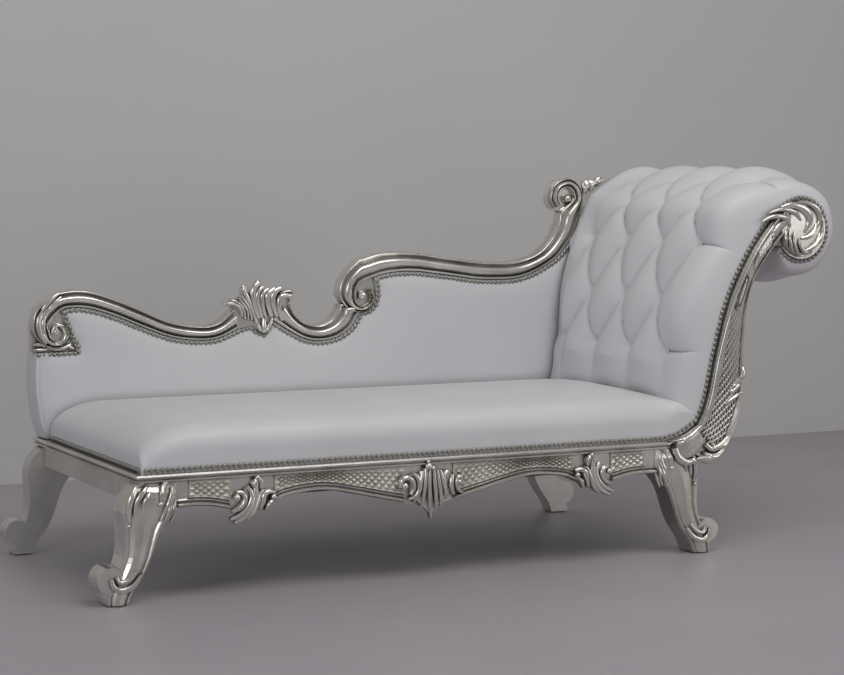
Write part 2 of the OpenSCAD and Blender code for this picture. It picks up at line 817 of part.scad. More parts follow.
// Crest: pairs of points along the nail edge and the top edge
nail_off = 5;
back_top = frame_depth;
plate_y = crest_y + crest_relief;
crest_back = plate_y + crest_board_t;
function stretched(p) =
    [for (q = p) [q.x + stretch_x * clamp((q.x - 930) / 330, 0, 1), q.y]];
function raised(p) = [for (q = p) [q.x, q.y + nail_off]];
left_c = [27, 546];
middle_c = [846, 615];
right_c = [1458, 862];
function ring_of(c, v, k) = [for (q = v) c + q[k] * [cos(q[0]), sin(q[0])]];
left_swirl = [
    [405, 16, 25], [360, 19, 31], [315, 22, 35], [270, 25, 38], [225, 20, 47], [180, 17, 62], [140, 27, 76]
];
middle_swirl = [
    [405, 20, 29], [360, 23, 35], [315, 26, 38], [270, 29, 42], [225, 23, 55], [180, 15, 69],
    [138, 20, 76], [100, 30, 92]
];
right_swirl = [
    [-14, 18, 52], [20, 21, 54], [55, 25, 54], [90, 29, 54], [135, 31, 54], [180, 30, 51], [215, 27, 46]
];
left_a = raised([
    [38, 592], [70, 598], [116, 593], [181, 572], [253, 542], [327, 516], [401, 507], [450, 512], [500, 532]
]);
left_b = [
    [6, 632], [50, 646], [103, 645], [170, 624], [235, 597], [312, 564], [396, 549], [445, 557], [485, 591]
];
middle_a = raised([
    [593, 552], [644, 521], [687, 501], [730, 495], [777, 503], [815, 526], [832, 552], [842, 568]
]);
middle_b = [
    [642, 609], [650, 577], [680, 551], [722, 542], [755, 555], [776, 580], [780, 594], [800, 590]
];
right_a = stretched(raised([
    [882, 655], [912, 663], [959, 668], [1007, 667], [1055, 661], [1116, 653], [1177, 644], [1239, 641],
    [1301, 643], [1352, 656], [1402, 680], [1434, 701], [1462, 732], [1486, 764], [1501, 800]
]));
right_b = stretched([
    [845, 711], [892, 723], [950, 726], [1007, 722], [1062, 714], [1122, 705], [1180, 698], [1239, 694],
    [1290, 695], [1330, 702], [1366, 716], [1390, 735], [1414, 765], [1430, 798], [1438, 828]
]);
right_shift = [stretch_x, 0];
function moved(p, d) = [for (q = p) q + d];

left_edge_a = spline(concat(ring_of(left_c, left_swirl, 1), left_a), 2);
left_edge_b = spline(concat(ring_of(left_c, left_swirl, 2), left_b), 2);
middle_edge_a = spline(middle_a, 2);
middle_edge_b = spline(middle_b, 2);
right_edge_a = spline(concat(
    ring_of(middle_c, middle_swirl, 1), right_a, moved(ring_of(right_c, right_swirl, 2), right_shift)
), 2);
right_edge_b = spline(concat(
    ring_of(middle_c, middle_swirl, 2), right_b, moved(ring_of(right_c, right_swirl, 1), right_shift)
), 2);
rail_section = [
    [0, 0.1], [0.05, 0.45], [0.14, 0.5], [0.2, 0.22], [0.32, 0.7], [0.48, 1],
    [0.64, 0.9], [0.74, 0.45], [0.8, 0.4], [0.88, 0.7], [0.96, 0.6], [1, 0.1]
];

// Outlines of the solid timber behind the carved face
left_foot = [[52, 556], [60, 532], [74, 508], [76, 496], [-36, 496], [-36, 520], [-38, 560], [-26, 602]];
left_outline = concat(spline(left_b, 3), reverse(spline(left_a, 3)), left_foot);
middle_outline = concat(spline(middle_b, 3), reverse(spline(middle_a, 3)));
middle_volute = [
    [886, 636], [888, 612], [880, 588], [862, 574], [842, 570], [815, 580], [790, 598], [777, 620],
    [786, 652], [808, 684]
];
top_scroll = [
    [1432, 828], [1414, 836], [1405, 850], [1404, 872], [1412, 894], [1432, 912], [1458, 917], [1486, 911],
    [1508, 894], [1514, 866], [1511, 836]
];
right_outline = concat(
    middle_volute, spline(right_b, 2), moved(spline(top_scroll, 2), right_shift), reverse(spline(right_a, 2))
);
module crest() {
    place() translate([0, 0, lift]) children();
}
module dome(c, r, y, h) {
    translate([c.x, y, c.y]) rotate([90, 0, 0])
        rotate_extrude($fn = 32) polygon([[0, 0], [r, 0], [r * 0.9, h * 0.5], [r * 0.5, h * 0.9], [0, h]]);
}
// A strip behind the lower part of each rail, by which it stands on the posts
ledge_part = 0.45;
module ledge(a, b) {
    board(
        concat(
            [for (i = [1:len(a) - 2]) a[i] + (b[i] - a[i]) * ledge_part],
            [for (i = [len(a) - 2:-1:1]) a[i]]
        ),
        crest_back - 1, back_top
    );
}
eye_r = 11;
module crest_left_rail() {
    color(silver) crest() {
        board(left_outline, plate_y, crest_back);
        ledge(spline(left_a, 3), spline(left_b, 3));
        board([[2, 496], [76, 496], [74, 508], [60, 532], [2, 532]], crest_back - 1, back_top);
        band(left_edge_a, left_edge_b, rail_section, plate_y, crest_relief, plate_y);
        dome(left_c, eye_r, plate_y + 1, crest_relief);
    }
}
module crest_middle_rail() {
    color(silver) crest() {
        difference() {
            union() {
                board(middle_outline, plate_y, crest_back);
                ledge(spline(middle_a, 3), spline(middle_b, 3));
            }
            board(right_outline, plate_y - 1, back_top + 1);
        }
        band(middle_edge_a, middle_edge_b, rail_section, plate_y, crest_relief, plate_y);
    }
}
module crest_right_rail() {
    color(silver) crest() {
        board(right_outline, plate_y, crest_back);
        ledge(spline(right_a, 2), spline(right_b, 2));
        band(right_edge_a, right_edge_b, rail_section, plate_y, crest_relief, plate_y);
        dome(middle_c, eye_r, plate_y + 1, crest_relief);
        dome(right_c + right_shift, eye_r, plate_y + 1, crest_relief);
    }
}
shell_root = raised([[501, 533], [535, 541], [552, 528], [570, 520], [580, 535], [592, 552]]);
shell_side = [[480, 590], [486.5, 591.5]];
shell_tip = spline([
    [470, 591], [463, 604], [480, 612], [502, 622], [510, 642], [532, 658], [556, 654], [575, 634],
    [596, 640], [618, 642], [641, 612]
], 2);
module crest_shell() {
    color(silver) crest()
        palmette(
            concat(shell_side, shell_root), shell_tip, 6,
            plate_y - crest_relief * 0.3, crest_relief, crest_back, 7
        );
}
module crest_end_leaf() {
    color(silver) crest() translate([stretch_x, 0, 0])
        palmette(
            raised([[1515, 866], [1530, 872], [1545, 880], [1560, 890], [1576, 902]]),
            [[1510, 900], [1520, 910], [1538, 914], [1560, 918], [1582, 920]],
            3, plate_y, crest_relief * 0.6, crest_back, 4
        );
}

// Back pad: outline under the crest, filled by board, foam and cover
seat_line = rail_top - lift + cloth_t + fit_gap;
back_outline = concat(
    [[-2, seat_line], [1392 + stretch_x, seat_line], [1434 + stretch_x, 322], [1462 + stretch_x, 384]],
    [[1470 + stretch_x, 500], [1472 + stretch_x, 745]],
    [for (q = reverse(spline(right_a, 2))) if (q.x < 1460 + stretch_x) q],
    [[886, 636], [888, 612], [880, 588], [862, 574]],
    [for (q = reverse(spline(middle_a, 2))) q],
    [for (q = reverse(shell_root)) if (q.x > 501 && q.x < 592) q],
    [for (q = reverse(spline(left_a, 2))) q],
    [[52, 556], [60, 532], [74, 508], [76, 496], [-24, 496], [-28, 450], [-27, 400], [-18, 330]]
);
back_edge = inset(back_outline, fit_gap);
pad_y_edge = crest_y + pad_set;
pad_swell = 7;
pad_back_y = pad_y_edge + 15;
board_y = pad_back_y + back_foam_t;
post_y = board_y + board_t;
// The crown of the pad lies inside its nailed edge, by the same margin all round
pad_top_line = concat(
    [[-60, 496], [76, 496], [84, 594]],
    [for (q = spline(left_a, 2)) if (q.x > 90) q],
    [for (q = shell_root) if (q.x > 501 && q.x < 592) q],
    spline(middle_a, 2),
    [[862, 574], [880, 588], [888, 636]],
    [for (q = spline(right_a, 2)) if (q.x > 890) q]
);
pad_low_line = [
    [-27, 400], [-18, 330], [-2, seat_line], [1392 + stretch_x, seat_line],
    [1434 + stretch_x, 322], [1462 + stretch_x, 384]
];
crown_fan = [-1:0.2:1];
function crown_top(x, e) = min([for (t = crown_fan) lookup(x + e * t, pad_top_line) - e * sqrt(1 - t * t)]);
function crown_low(x, e) = max([for (t = crown_fan) lookup(x + e * t, pad_low_line) + e * sqrt(1 - t * t)]);
crown_edges = [nail_d + 3, nail_d + 11, nail_d + 29];
crown_rise = [0, 0.7, 1];
crown_x0 = -27 + crown_edges[0];
crown_x1 = 1462 + stretch_x - crown_edges[0];
crown_x = concat(
    [crown_x0, crown_x0 + 8, crown_x0 + 26, 30, 56, 76, 90, 91, 98, 99, 116, 117],
    [for (x = [140:36:480]) x],
    [500, 520, 535, 551, 566, 580, 592, 606],
    [for (x = [630:34:830]) x],
    [846, 862, 875, 888, 902, 903, 910, 911, 928, 929],
    [for (k = [1:12]) 930 + (crown_x1 - 26 - 930) * k / 12],
    [crown_x1 - 8, crown_x1]
);
function crown_end(i) = crown_rise[min(i, len(crown_x) - 1 - i, 2)];
module back_cover() {
    color(white_leather) crest() {
        board(back_edge, pad_y_edge, pad_back_y);
        relief(
            [for (i = [0:len(crown_x) - 1])
                let (
                    x = crown_x[i],
                    low = [for (e = crown_edges) crown_low(x, e)],
                    top = [for (e = crown_edges) crown_top(x, e)],
                    z = concat(low, [(low[2] + top[2]) / 2], reverse(top)),
                    rise = concat(crown_rise, [1], reverse(crown_rise))
                )
                [for (j = [0:len(z) - 1])
                    [x, pad_y_edge - pad_swell * min(rise[j], crown_end(i)), z[j]]]],
            pad_y_edge
        );
    }
}
module back_foam() {
    color(foam) crest() board(inset(back_outline, 6), pad_back_y, board_y);
}
module back_board() {
    color(wood) crest() board(back_edge, board_y, post_y);
}
post_top = 690;
module back_posts() {
    color(wood) crest() difference() {
        for (x = [4, mid - post_w / 2, frame_len - 2 * post_w - 10])
            translate([x, post_y, seat_line]) cube([post_w, back_face - post_y, post_top - seat_line]);
        board(crest_cut, post_y - 1, back_top + 1);
    }
}
crest_cut = concat(
    [[-60, 830], [-60, 496 - fit_gap], [76, 496 - fit_gap], [84, 590]],
    moved([for (q = spline(left_a, 2)) if (q.x > 90) q], [0, -fit_gap]),
    moved(shell_root, [0, -fit_gap]),
    moved(spline(middle_a, 2), [0, -fit_gap]),
    [[870, 570]],
    moved(spline(right_a, 2), [0, -fit_gap]),
    [[1560 + stretch_x, 830]]
);
module outside_back_cover() {
    color(white_leather) crest() board(back_edge, back_face, back_face + leather_t);
}

// Seat cushion: rings along the seat, crowned, with rounded edges
seat_y0 = seat_inset;
seat_y1 = crest_y + pad_set - pad_swell - fit_gap;
seat_end = 1440 + stretch_x;
seat_x0 = seat_inset;
under_line = concat(
    [[0, rail_top], [start_line[0].x + stretch_x, rail_top]],
    moved(concat(start_line, [[1450, 326]]), [stretch_x, lift + fit_gap])
);
function seat_under(x) = lookup(x, under_line);
crease = 1388 + stretch_x;
seat_tip = 8;
seat_fall = seat_edge_h * 0.68;
skirt = 12;
strap_top = rail_top + 2 * cloth_t + fit_gap;
function seat_side(x) =
    let (
        left = seat_fall * (1 - sqrt(1 - pow(clamp(1 - (x - seat_x0) / seat_slope, 0, 1), 2))),
        end_h = rail_top + seat_edge_h - seat_under(seat_end) - seat_tip,
        drop = end_h * clamp((x - crease) / (seat_end - crease), 0, 1)
    )
    rail_top + seat_edge_h - left - drop;
function seat_top(x, y) =
    let (
        u = clamp((y - seat_y0) / (seat_y1 - seat_y0), 0, 1),
        v = clamp((x - seat_x0) / 260, 0, 1),
        w = clamp((seat_end - x) / 140, 0, 1)
    )
    seat_side(x) + seat_crown * sin(180 * pow(u, 0.8)) * sin(90 * v) * w;
cover_wall = 16;
foam_x = [seat_x0 + seat_slope * 0.5, facade_start - 40];
foam_y = [seat_y0 + cover_wall, seat_y1 - cover_wall];
foam_z = strap_top;
recess_x = [foam_x[0] - fit_gap, foam_x[1] + fit_gap];
recess_y = [foam_y[0] - fit_gap, foam_y[1] + fit_gap];
recess_top = foam_z + seat_foam_t + fit_gap;
seat_stations = concat(
    [for (t = [0, 4, skirt, skirt + 1, 24, 42]) seat_x0 + t],
    [recess_x[0] - 1, recess_x[0]],
    [for (t = [0.1, 0.3, 0.6, 1]) recess_x[0] + (seat_x0 + 300 - recess_x[0]) * t],
    [for (k = [1:6]) seat_x0 + 300 + (crease - 90 - seat_x0 - 300) * k / 6],
    [recess_x[1], recess_x[1] + 1],
    [for (t = [0.25, 0.5, 0.8, 1]) crease - 90 + 90 * t],
    [for (t = [0.3, 0.6, 0.85, 1]) crease + (seat_end - crease) * t]
);
round_steps = [0, 18, 36, 54, 72, 90];
module seat_cover() {
    color(white_leather) place() loft([
        for (x = seat_stations)
            let (
                low = seat_under(x),
                step_z = x > seat_x0 + skirt ? max(low, strap_top) : low,
                hollow = x >= recess_x[0] && x <= recess_x[1] ? recess_top : step_z + fit_gap,
                top = seat_side(x),
                r = min(seat_round, (top - low) * 0.8)
            )
            concat(
                [[x, seat_y0, low]],
                [for (a = round_steps)
                    let (y = seat_y0 + r * (1 - cos(a)))
                    [x, y, top - r + r * sin(a) + seat_top(x, y) - seat_side(x)]],
                [for (t = [0.12, 0.27, 0.45, 0.63, 0.8, 0.92])
                    let (y = seat_y0 + r + (seat_y1 - seat_y0 - r) * t) [x, y, seat_top(x, y)]],
                [[x, seat_y1, seat_top(x, seat_y1) - 4]],
                [[x, seat_y1, step_z], [x, recess_y[1], step_z], [x, recess_y[1], hollow]],
                [[x, recess_y[0], hollow], [x, recess_y[0], step_z]],
                [[x, seat_y0 + skirt + 1, step_z], [x, seat_y0 + skirt, low]]
            )
    ]);
}
module seat_foam() {
    color(foam) place()
        translate([foam_x[0], foam_y[0], foam_z])
            cube([foam_x[1] - foam_x[0], foam_y[1] - foam_y[0], seat_foam_t]);
}
long_straps = 4;
strap_x0 = leg_w + 30;
strap_step = (facade_start - 30 - strap_w - strap_x0) / (strap_count - 1);
long_strap_y0 = front_leg_t + 20;
long_strap_step = (back_block_y - 40 - strap_w - long_strap_y0) / (long_straps - 1);
module seat_webbing() {
    color(cloth) place() {
        for (k = [0:strap_count - 1])
            translate([strap_x0 + strap_step * k, foam_y[0], rail_top])
                cube([strap_w, back_face - foam_y[0], cloth_t]);
        for (k = [0:long_straps - 1])
            translate([seat_x0 + cover_wall, long_strap_y0 + long_strap_step * k, rail_top + cloth_t])
                cube([frame_len - 14 - seat_x0 - cover_wall, strap_w, cloth_t]);
    }
}
module dust_cover() {
    z = rail_top - rail_h;
    e = 4;
    inner_x = leg_w + e;
    inner_y = front_leg_t + e;
    outer_y = back_block_y - e;
    color(cloth) place() translate([0, 0, z - cloth_t]) linear_extrude(height = cloth_t)
        polygon([
            [e, inner_y], [inner_x, inner_y], [inner_x, rail_t + e],
            [frame_len - inner_x, rail_t + e], [frame_len - inner_x, inner_y], [frame_len - e, inner_y],
            [frame_len - e, outer_y], [frame_len - inner_x, outer_y], [frame_len - inner_x, back_face - e],
            [inner_x, back_face - e], [inner_x, outer_y], [e, outer_y]
        ]);
}

// Nails along a line, with their heads on the leather
module nail(p, tilt) {
    translate(p) rotate(tilt) {
        cylinder(d = nail_d, h = nail_h * 0.35, $fn = 16);
        translate([0, 0, nail_h * 0.35])
            cylinder(d1 = nail_d, d2 = nail_d * 0.45, h = nail_h * 0.65, $fn = 16);
    }
}
module nail_line(p, y) {
    n = floor(run(p)[len(p) - 1] / nail_pitch);
    for (q = even(p, n)) nail([q.x, y, q.y], [90, 0, 0]);
}
nail_up = nail_d / 2 + 2.5;
nail_z = rail_top + nail_up;
module nails_front() {
    foot = [for (q = beside(start_line, nail_up)) if (q.x < 1428) q + [stretch_x, lift]];
    color(steel) place()
        nail_line(concat([[seat_x0 + nail_d, nail_z]], foot), seat_y0 - fit_gap);
}
module nails_left_end() {
    n = floor((seat_y1 - seat_y0 - 2 * nail_d) / nail_pitch);
    color(steel) place()
        for (k = [0:n])
            nail([seat_x0 - fit_gap, seat_y0 + nail_d + k * nail_pitch, nail_z], [0, -90, 0]);
}
crest_nail_line = inset(back_outline, nail_d / 2 + 1.5);
crest_nail_from = 6;
module nails_crest() {
    p = [for (i = [crest_nail_from:len(back_outline) - 5]) crest_nail_line[i]];
    color(steel) crest() nail_line(p, pad_y_edge - fit_gap);
}
module nails_headrest() {
    p = beside([for (s = [0.1:0.1:last_s - 0.3]) at(base_line, s)], nail_d / 2 + 0.5);
    color(steel) headrest() nail_line(p, pad_y0 - fit_gap);
}

front_rail();
left_end_rail();
back_rail();
right_end_rail();
front_left_leg();
front_right_leg();
back_left_leg();
back_right_leg();
corner_blocks();
corner_block_screws();
leg_dowels();
foot_glides();
rail_moulding();
apron_bead();
apron_lattice();
apron_shell_left();
apron_shell_centre();
apron_shell_right();
headrest_front_frame();
headrest_lattice();
headrest_cartouche();
headrest_rosette();
headrest_back_frame();
headrest_cross_rails();
headrest_deck();
headrest_roll_core();
headrest_cover();
tuft_buttons();
headrest_outside_cover();
crest_left_rail();
crest_shell();
crest_middle_rail();
crest_right_rail();
crest_end_leaf();
back_board();
back_posts();
back_foam();
back_cover();
outside_back_cover();
seat_webbing();
seat_foam();
seat_cover();
dust_cover();
nails_front();
nails_left_end();
nails_crest();
nails_headrest();
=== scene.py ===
import json
import math

import bpy
import numpy as np
from mathutils import Matrix, Vector
from mathutils.bvhtree import BVHTree


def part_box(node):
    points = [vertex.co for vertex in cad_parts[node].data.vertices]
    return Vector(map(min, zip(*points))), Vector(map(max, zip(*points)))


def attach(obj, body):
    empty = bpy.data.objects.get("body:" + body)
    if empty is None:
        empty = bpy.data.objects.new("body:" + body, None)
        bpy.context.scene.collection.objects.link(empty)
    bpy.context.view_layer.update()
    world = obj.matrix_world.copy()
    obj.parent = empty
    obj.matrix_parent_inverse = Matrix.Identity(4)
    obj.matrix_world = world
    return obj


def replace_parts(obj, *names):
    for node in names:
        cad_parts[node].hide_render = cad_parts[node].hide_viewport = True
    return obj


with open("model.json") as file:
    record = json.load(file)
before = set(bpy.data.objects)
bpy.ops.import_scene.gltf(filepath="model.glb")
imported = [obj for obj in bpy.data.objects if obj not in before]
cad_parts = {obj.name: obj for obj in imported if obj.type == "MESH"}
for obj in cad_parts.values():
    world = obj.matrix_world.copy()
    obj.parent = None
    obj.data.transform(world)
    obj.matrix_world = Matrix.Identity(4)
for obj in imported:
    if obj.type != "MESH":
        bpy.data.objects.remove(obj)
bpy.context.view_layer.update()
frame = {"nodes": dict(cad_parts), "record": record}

# Millimetres of the drawing: X from the left leg block, Y from the front rail's face, Z from the floor
FRAME_LEN = 1406
RAIL_TOP = 283
PLATE_Y, CREST_RELIEF, CREST_BACK = 667, 22, 691
CREST_Y = PLATE_Y - CREST_RELIEF
BACK_TOP = 740
PAD_EDGE_Y = CREST_Y + 15
FIT = 0.3
NAIL_D, NAIL_H, NAIL_PITCH = 11, 4.5, 13

# Where the drawing's zero lies in the frame, in metres
GLIDES_LEFT = 0.069
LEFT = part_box("foot_glides")[0].x + GLIDES_LEFT
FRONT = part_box("crest_left_rail")[1].y - BACK_TOP / 1000
ORIGIN = np.array([LEFT, FRONT, 0.0])

# Steps between two knots of a carved line, steps along a strand, and points over its ridge
SMOOTH, STRAND_STEPS, RIDGE_POINTS = 8, 22, 11
# Depth, in metres, at which rays towards the front of a piece start
RAYS_FROM = -0.2
FORWARD, ACROSS, DEEP = np.array([0, -1.0, 0]), np.array([1.0, 0, 0]), np.array([0, 1.0, 0])


# ---- curves
def points(*pairs):
    return np.array(pairs, float)


def bend(a, b, c, d, t):
    """The point at t, 0 to 1, of a smooth curve from b to c, with a before it and d after it."""
    return (2 * b + (c - a) * t + (2 * a - 5 * b + 4 * c - d) * t * t
            + (3 * b - a - 3 * c + d) * t ** 3) / 2


def spline(knots, steps):
    """A smooth curve through the knots, with a number of steps between each pair."""
    knots = np.asarray(knots, float)
    ends = np.vstack([knots[:1], knots, knots[-1:]])
    rows = [bend(*ends[i:i + 4], k / steps) for i in range(len(knots) - 1) for k in range(steps)]
    return np.array(rows + [knots[-1]])


def along(knots, s):
    """The point of the smooth curve at parameter s, counted in knots."""
    knots = np.asarray(knots, float)
    last = len(knots) - 1
    i = int(min(math.floor(s), last - 1))
    return bend(*(knots[min(max(k, 0), last)] for k in (i - 1, i, i + 1, i + 2)), s - i)


def lengths(line):
    """The length run through at each point of the line."""
    steps = np.linalg.norm(np.diff(line, axis=0), axis=1)
    return np.concatenate([[0], np.cumsum(steps)])


def even(line, n):
    """The line again, as n equal steps."""
    line = np.asarray(line, float)
    run = lengths(line)
    marks = np.linspace(0, run[-1], n + 1)
    return np.stack([np.interp(marks, run, line[:, k]) for k in range(line.shape[1])], axis=1)


def unit(v):
    return v / np.maximum(np.linalg.norm(v, axis=-1, keepdims=True), 1e-9)


def turned(v):
    """The vectors turned a quarter to the left."""
    return np.stack([-v[..., 1], v[..., 0]], axis=-1)


def normals(line):
    ahead = np.vstack([line[1:], line[-1:]])
    behind = np.vstack([line[:1], line[:-1]])
    return turned(unit(ahead - behind))


def beside(line, d):
    """The line moved to its left by d."""
    return line + d * normals(line)


def inset(outline, d):
    """The closed outline moved inwards by d."""
    outline = np.asarray(outline, float)
    before = unit(outline - np.roll(outline, 1, axis=0))
    after = unit(np.roll(outline, -1, axis=0) - outline)
    return outline + d * turned(unit(before + after))


def ring_of(centre, swirl, k):
    """One edge of a volute: each row of swirl holds degrees and two radii, and k picks the radius."""
    return np.array([(centre[0] + row[k] * math.cos(math.radians(row[0])),
                      centre[1] + row[k] * math.sin(math.radians(row[0]))) for row in swirl])


def mirrored(knots, mirror):
    """The knots, mirrored from the left half to the right one if mirror gives the frame's length."""
    knots = np.array(knots, float)
    if mirror is not None:
        knots[..., 0] = mirror - knots[..., 0]
    return knots


# ---- meshes
def placed(name, data):
    """A new object in the scene."""
    thing = bpy.data.objects.new(name, data)
    bpy.context.scene.collection.objects.link(thing)
    return thing


class Carving:
    """Gathers surfaces, in millimetres of the drawing, into one piece."""

    def __init__(self):
        self.points = []
        self.faces = []
        self.count = 0

    def add(self, rows, faces):
        rows = np.asarray(rows, float).reshape(-1, 3)
        self.faces += [[i + self.count for i in face] for face in faces]
        self.points.append(rows)
        self.count += len(rows)

    def grid(self, sheet, loop_cols=False, caps=False):
        """A sheet of points, optionally closed round its columns and capped at both ends."""
        n, m = sheet.shape[:2]
        last_j = m if loop_cols else m - 1
        faces = [(i * m + j, (i + 1) * m + j, (i + 1) * m + (j + 1) % m, i * m + (j + 1) % m)
                 for i in range(n - 1) for j in range(last_j)]
        if caps:
            faces.append(list(range(m))[::-1])
            faces.append([(n - 1) * m + j for j in range(m)])
        self.add(sheet, faces)

    def tube(self, rows):
        """Rings of points, closed round and capped at both ends."""
        self.grid(np.array(rows), loop_cols=True, caps=True)

    def head(self, centre, up, side, rings, turns):
        """A turned head: up is its axis, and each ring has a height and a radius."""
        cross = np.cross(up, side)
        self.tube([[centre + up * h + r * (side * math.cos(a) + cross * math.sin(a))
                    for a in np.linspace(0, 2 * math.pi, turns, endpoint=False)] for h, r in rings])

    def prism(self, outline, y0, y1):
        """A board whose outline lies in X and Z."""
        n = len(outline)
        rows = [(x, y, z) for y in (y0, y1) for x, z in outline]
        faces = [list(range(n)), list(range(2 * n - 1, n - 1, -1))]
        faces += [(i, i + n, (i + 1) % n + n, (i + 1) % n) for i in range(n)]
        self.add(rows, faces)

    def build(self, name, slot, crease=40):
        """The finished piece, smooth where its faces meet at less than crease degrees."""
        mesh = bpy.data.meshes.new(name)
        rows = np.concatenate(self.points) / 1000 + ORIGIN
        mesh.from_pydata(rows.tolist(), [], self.faces)
        mesh.update()
        piece = placed(name, mesh)
        bpy.context.view_layer.objects.active = piece
        bpy.ops.object.select_all(action="DESELECT")
        piece.select_set(True)
        bpy.ops.object.mode_set(mode="EDIT")
        bpy.ops.mesh.select_all(action="SELECT")
        bpy.ops.mesh.normals_make_consistent(inside=False)
        bpy.ops.object.mode_set(mode="OBJECT")
        bpy.ops.object.shade_smooth_by_angle(angle=math.radians(crease))
        mesh.materials.append(FINISH_OF_SLOT[slot])
        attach(piece, "root")
        return piece


def band_sheet(a, b, section, y0, high, back_y):
    """Points of a moulded band between two edges, with its sides carried back to back_y."""
    across = a[:, None, :] + (b - a)[:, None, :] * section[:, 0][None, :, None]
    deep = y0 - high * section[:, 1][None, :] * np.ones((len(a), 1))
    sheet = np.stack([across[..., 0], deep, across[..., 1]], axis=-1)
    rim = sheet.copy()
    rim[..., 1] = back_y
    return np.concatenate([rim[:, :1], sheet, rim[:, -1:]], axis=1)


def front_of(*pieces):
    """A function that says how far forward these pieces reach at points of the drawing's front plane."""
    trees = [BVHTree.FromPolygons([piece.matrix_world @ v.co for v in piece.data.vertices],
                                  [p.vertices[:] for p in piece.data.polygons]) for piece in pieces]

    def face(flat, missing):
        depth = np.full(len(flat), float(missing))
        for k, (x, z) in enumerate(flat):
            start = Vector((x / 1000, RAYS_FROM, z / 1000)) + Vector(ORIGIN)
            for tree in trees:
                hit = tree.ray_cast(start, Vector((0, 1, 0)))[0]
                if hit is not None:
                    depth[k] = min(depth[k], (hit.y - ORIGIN[1]) * 1000)
        return depth
    return face


def swell(n, start, end, peak=0.6):
    """Values that grow from start to 1 and fall again to end."""
    t = np.linspace(0, 1, n)
    rise = start + (1 - start) * np.sin(math.pi / 2 * np.minimum(t / peak, 1))
    fall = end + (1 - end) * np.cos(math.pi / 2 * np.clip((t - peak) / (1 - peak), 0, 1))
    return np.where(t < peak, rise, fall)


def strand_line(knots):
    """The middle line of a strand, in even steps."""
    return even(spline(knots, SMOOTH), STRAND_STEPS)


def strand(carving, knots, width, height, y0, start, end, peak=0.65, back=3.0, hollow=0.0):
    """A carved leaf strand: a rounded closed ridge along a line at the depth y0."""
    line = strand_line(knots)
    bulk = swell(len(line), start, end, peak)
    angle = np.linspace(0, math.pi, RIDGE_POINTS)
    offset = np.concatenate([-np.cos(angle), [0.7, -0.7]])
    rise = np.concatenate([np.sin(angle) ** 0.65 * (1 - hollow * np.sin(angle) ** 6), [0, 0]])
    sink = np.concatenate([np.zeros(RIDGE_POINTS), [back, back]])
    half = (bulk * width / 2)[:, None, None]
    flat = line[:, None, :] + normals(line)[:, None, :] * (offset[None, :, None] * half)
    y = np.broadcast_to(y0, len(line))[:, None] - (bulk * height)[:, None] * rise[None, :] + sink[None, :]
    carving.tube(np.stack([flat[..., 0], y, flat[..., 1]], axis=-1))


def ball(carving, centre, radius, y0):
    """A carved ball, half sunk at the depth y0."""
    rings = [(radius * math.sin(a), max(radius * math.cos(a), 0.2))
             for a in np.linspace(-0.45 * math.pi, 0.5 * math.pi, 9)]
    carving.head(np.array([centre[0], y0, centre[1]]), FORWARD, ACROSS, rings, 18)


# ---- shader maths
class Socket:
    """A shader value that adds its Math nodes as it is used in an expression."""

    def __init__(self, finish, output):
        self.finish = finish
        self.output = output

    def maths(self, operation, first, second):
        return self.finish.add("Math", {"operation": operation}, {0: first, 1: second})

    def __add__(self, other):
        return self.maths("ADD", self, other)

    def __radd__(self, other):
        return self.maths("ADD", other, self)

    def __sub__(self, other):
        return self.maths("SUBTRACT", self, other)

    def __rsub__(self, other):
        return self.maths("SUBTRACT", other, self)

    def __mul__(self, other):
        return self.maths("MULTIPLY", self, other)

    def __rmul__(self, other):
        return self.maths("MULTIPLY", other, self)

    def clamped(self):
        return self.finish.add("Clamp", {}, {"Value": self})


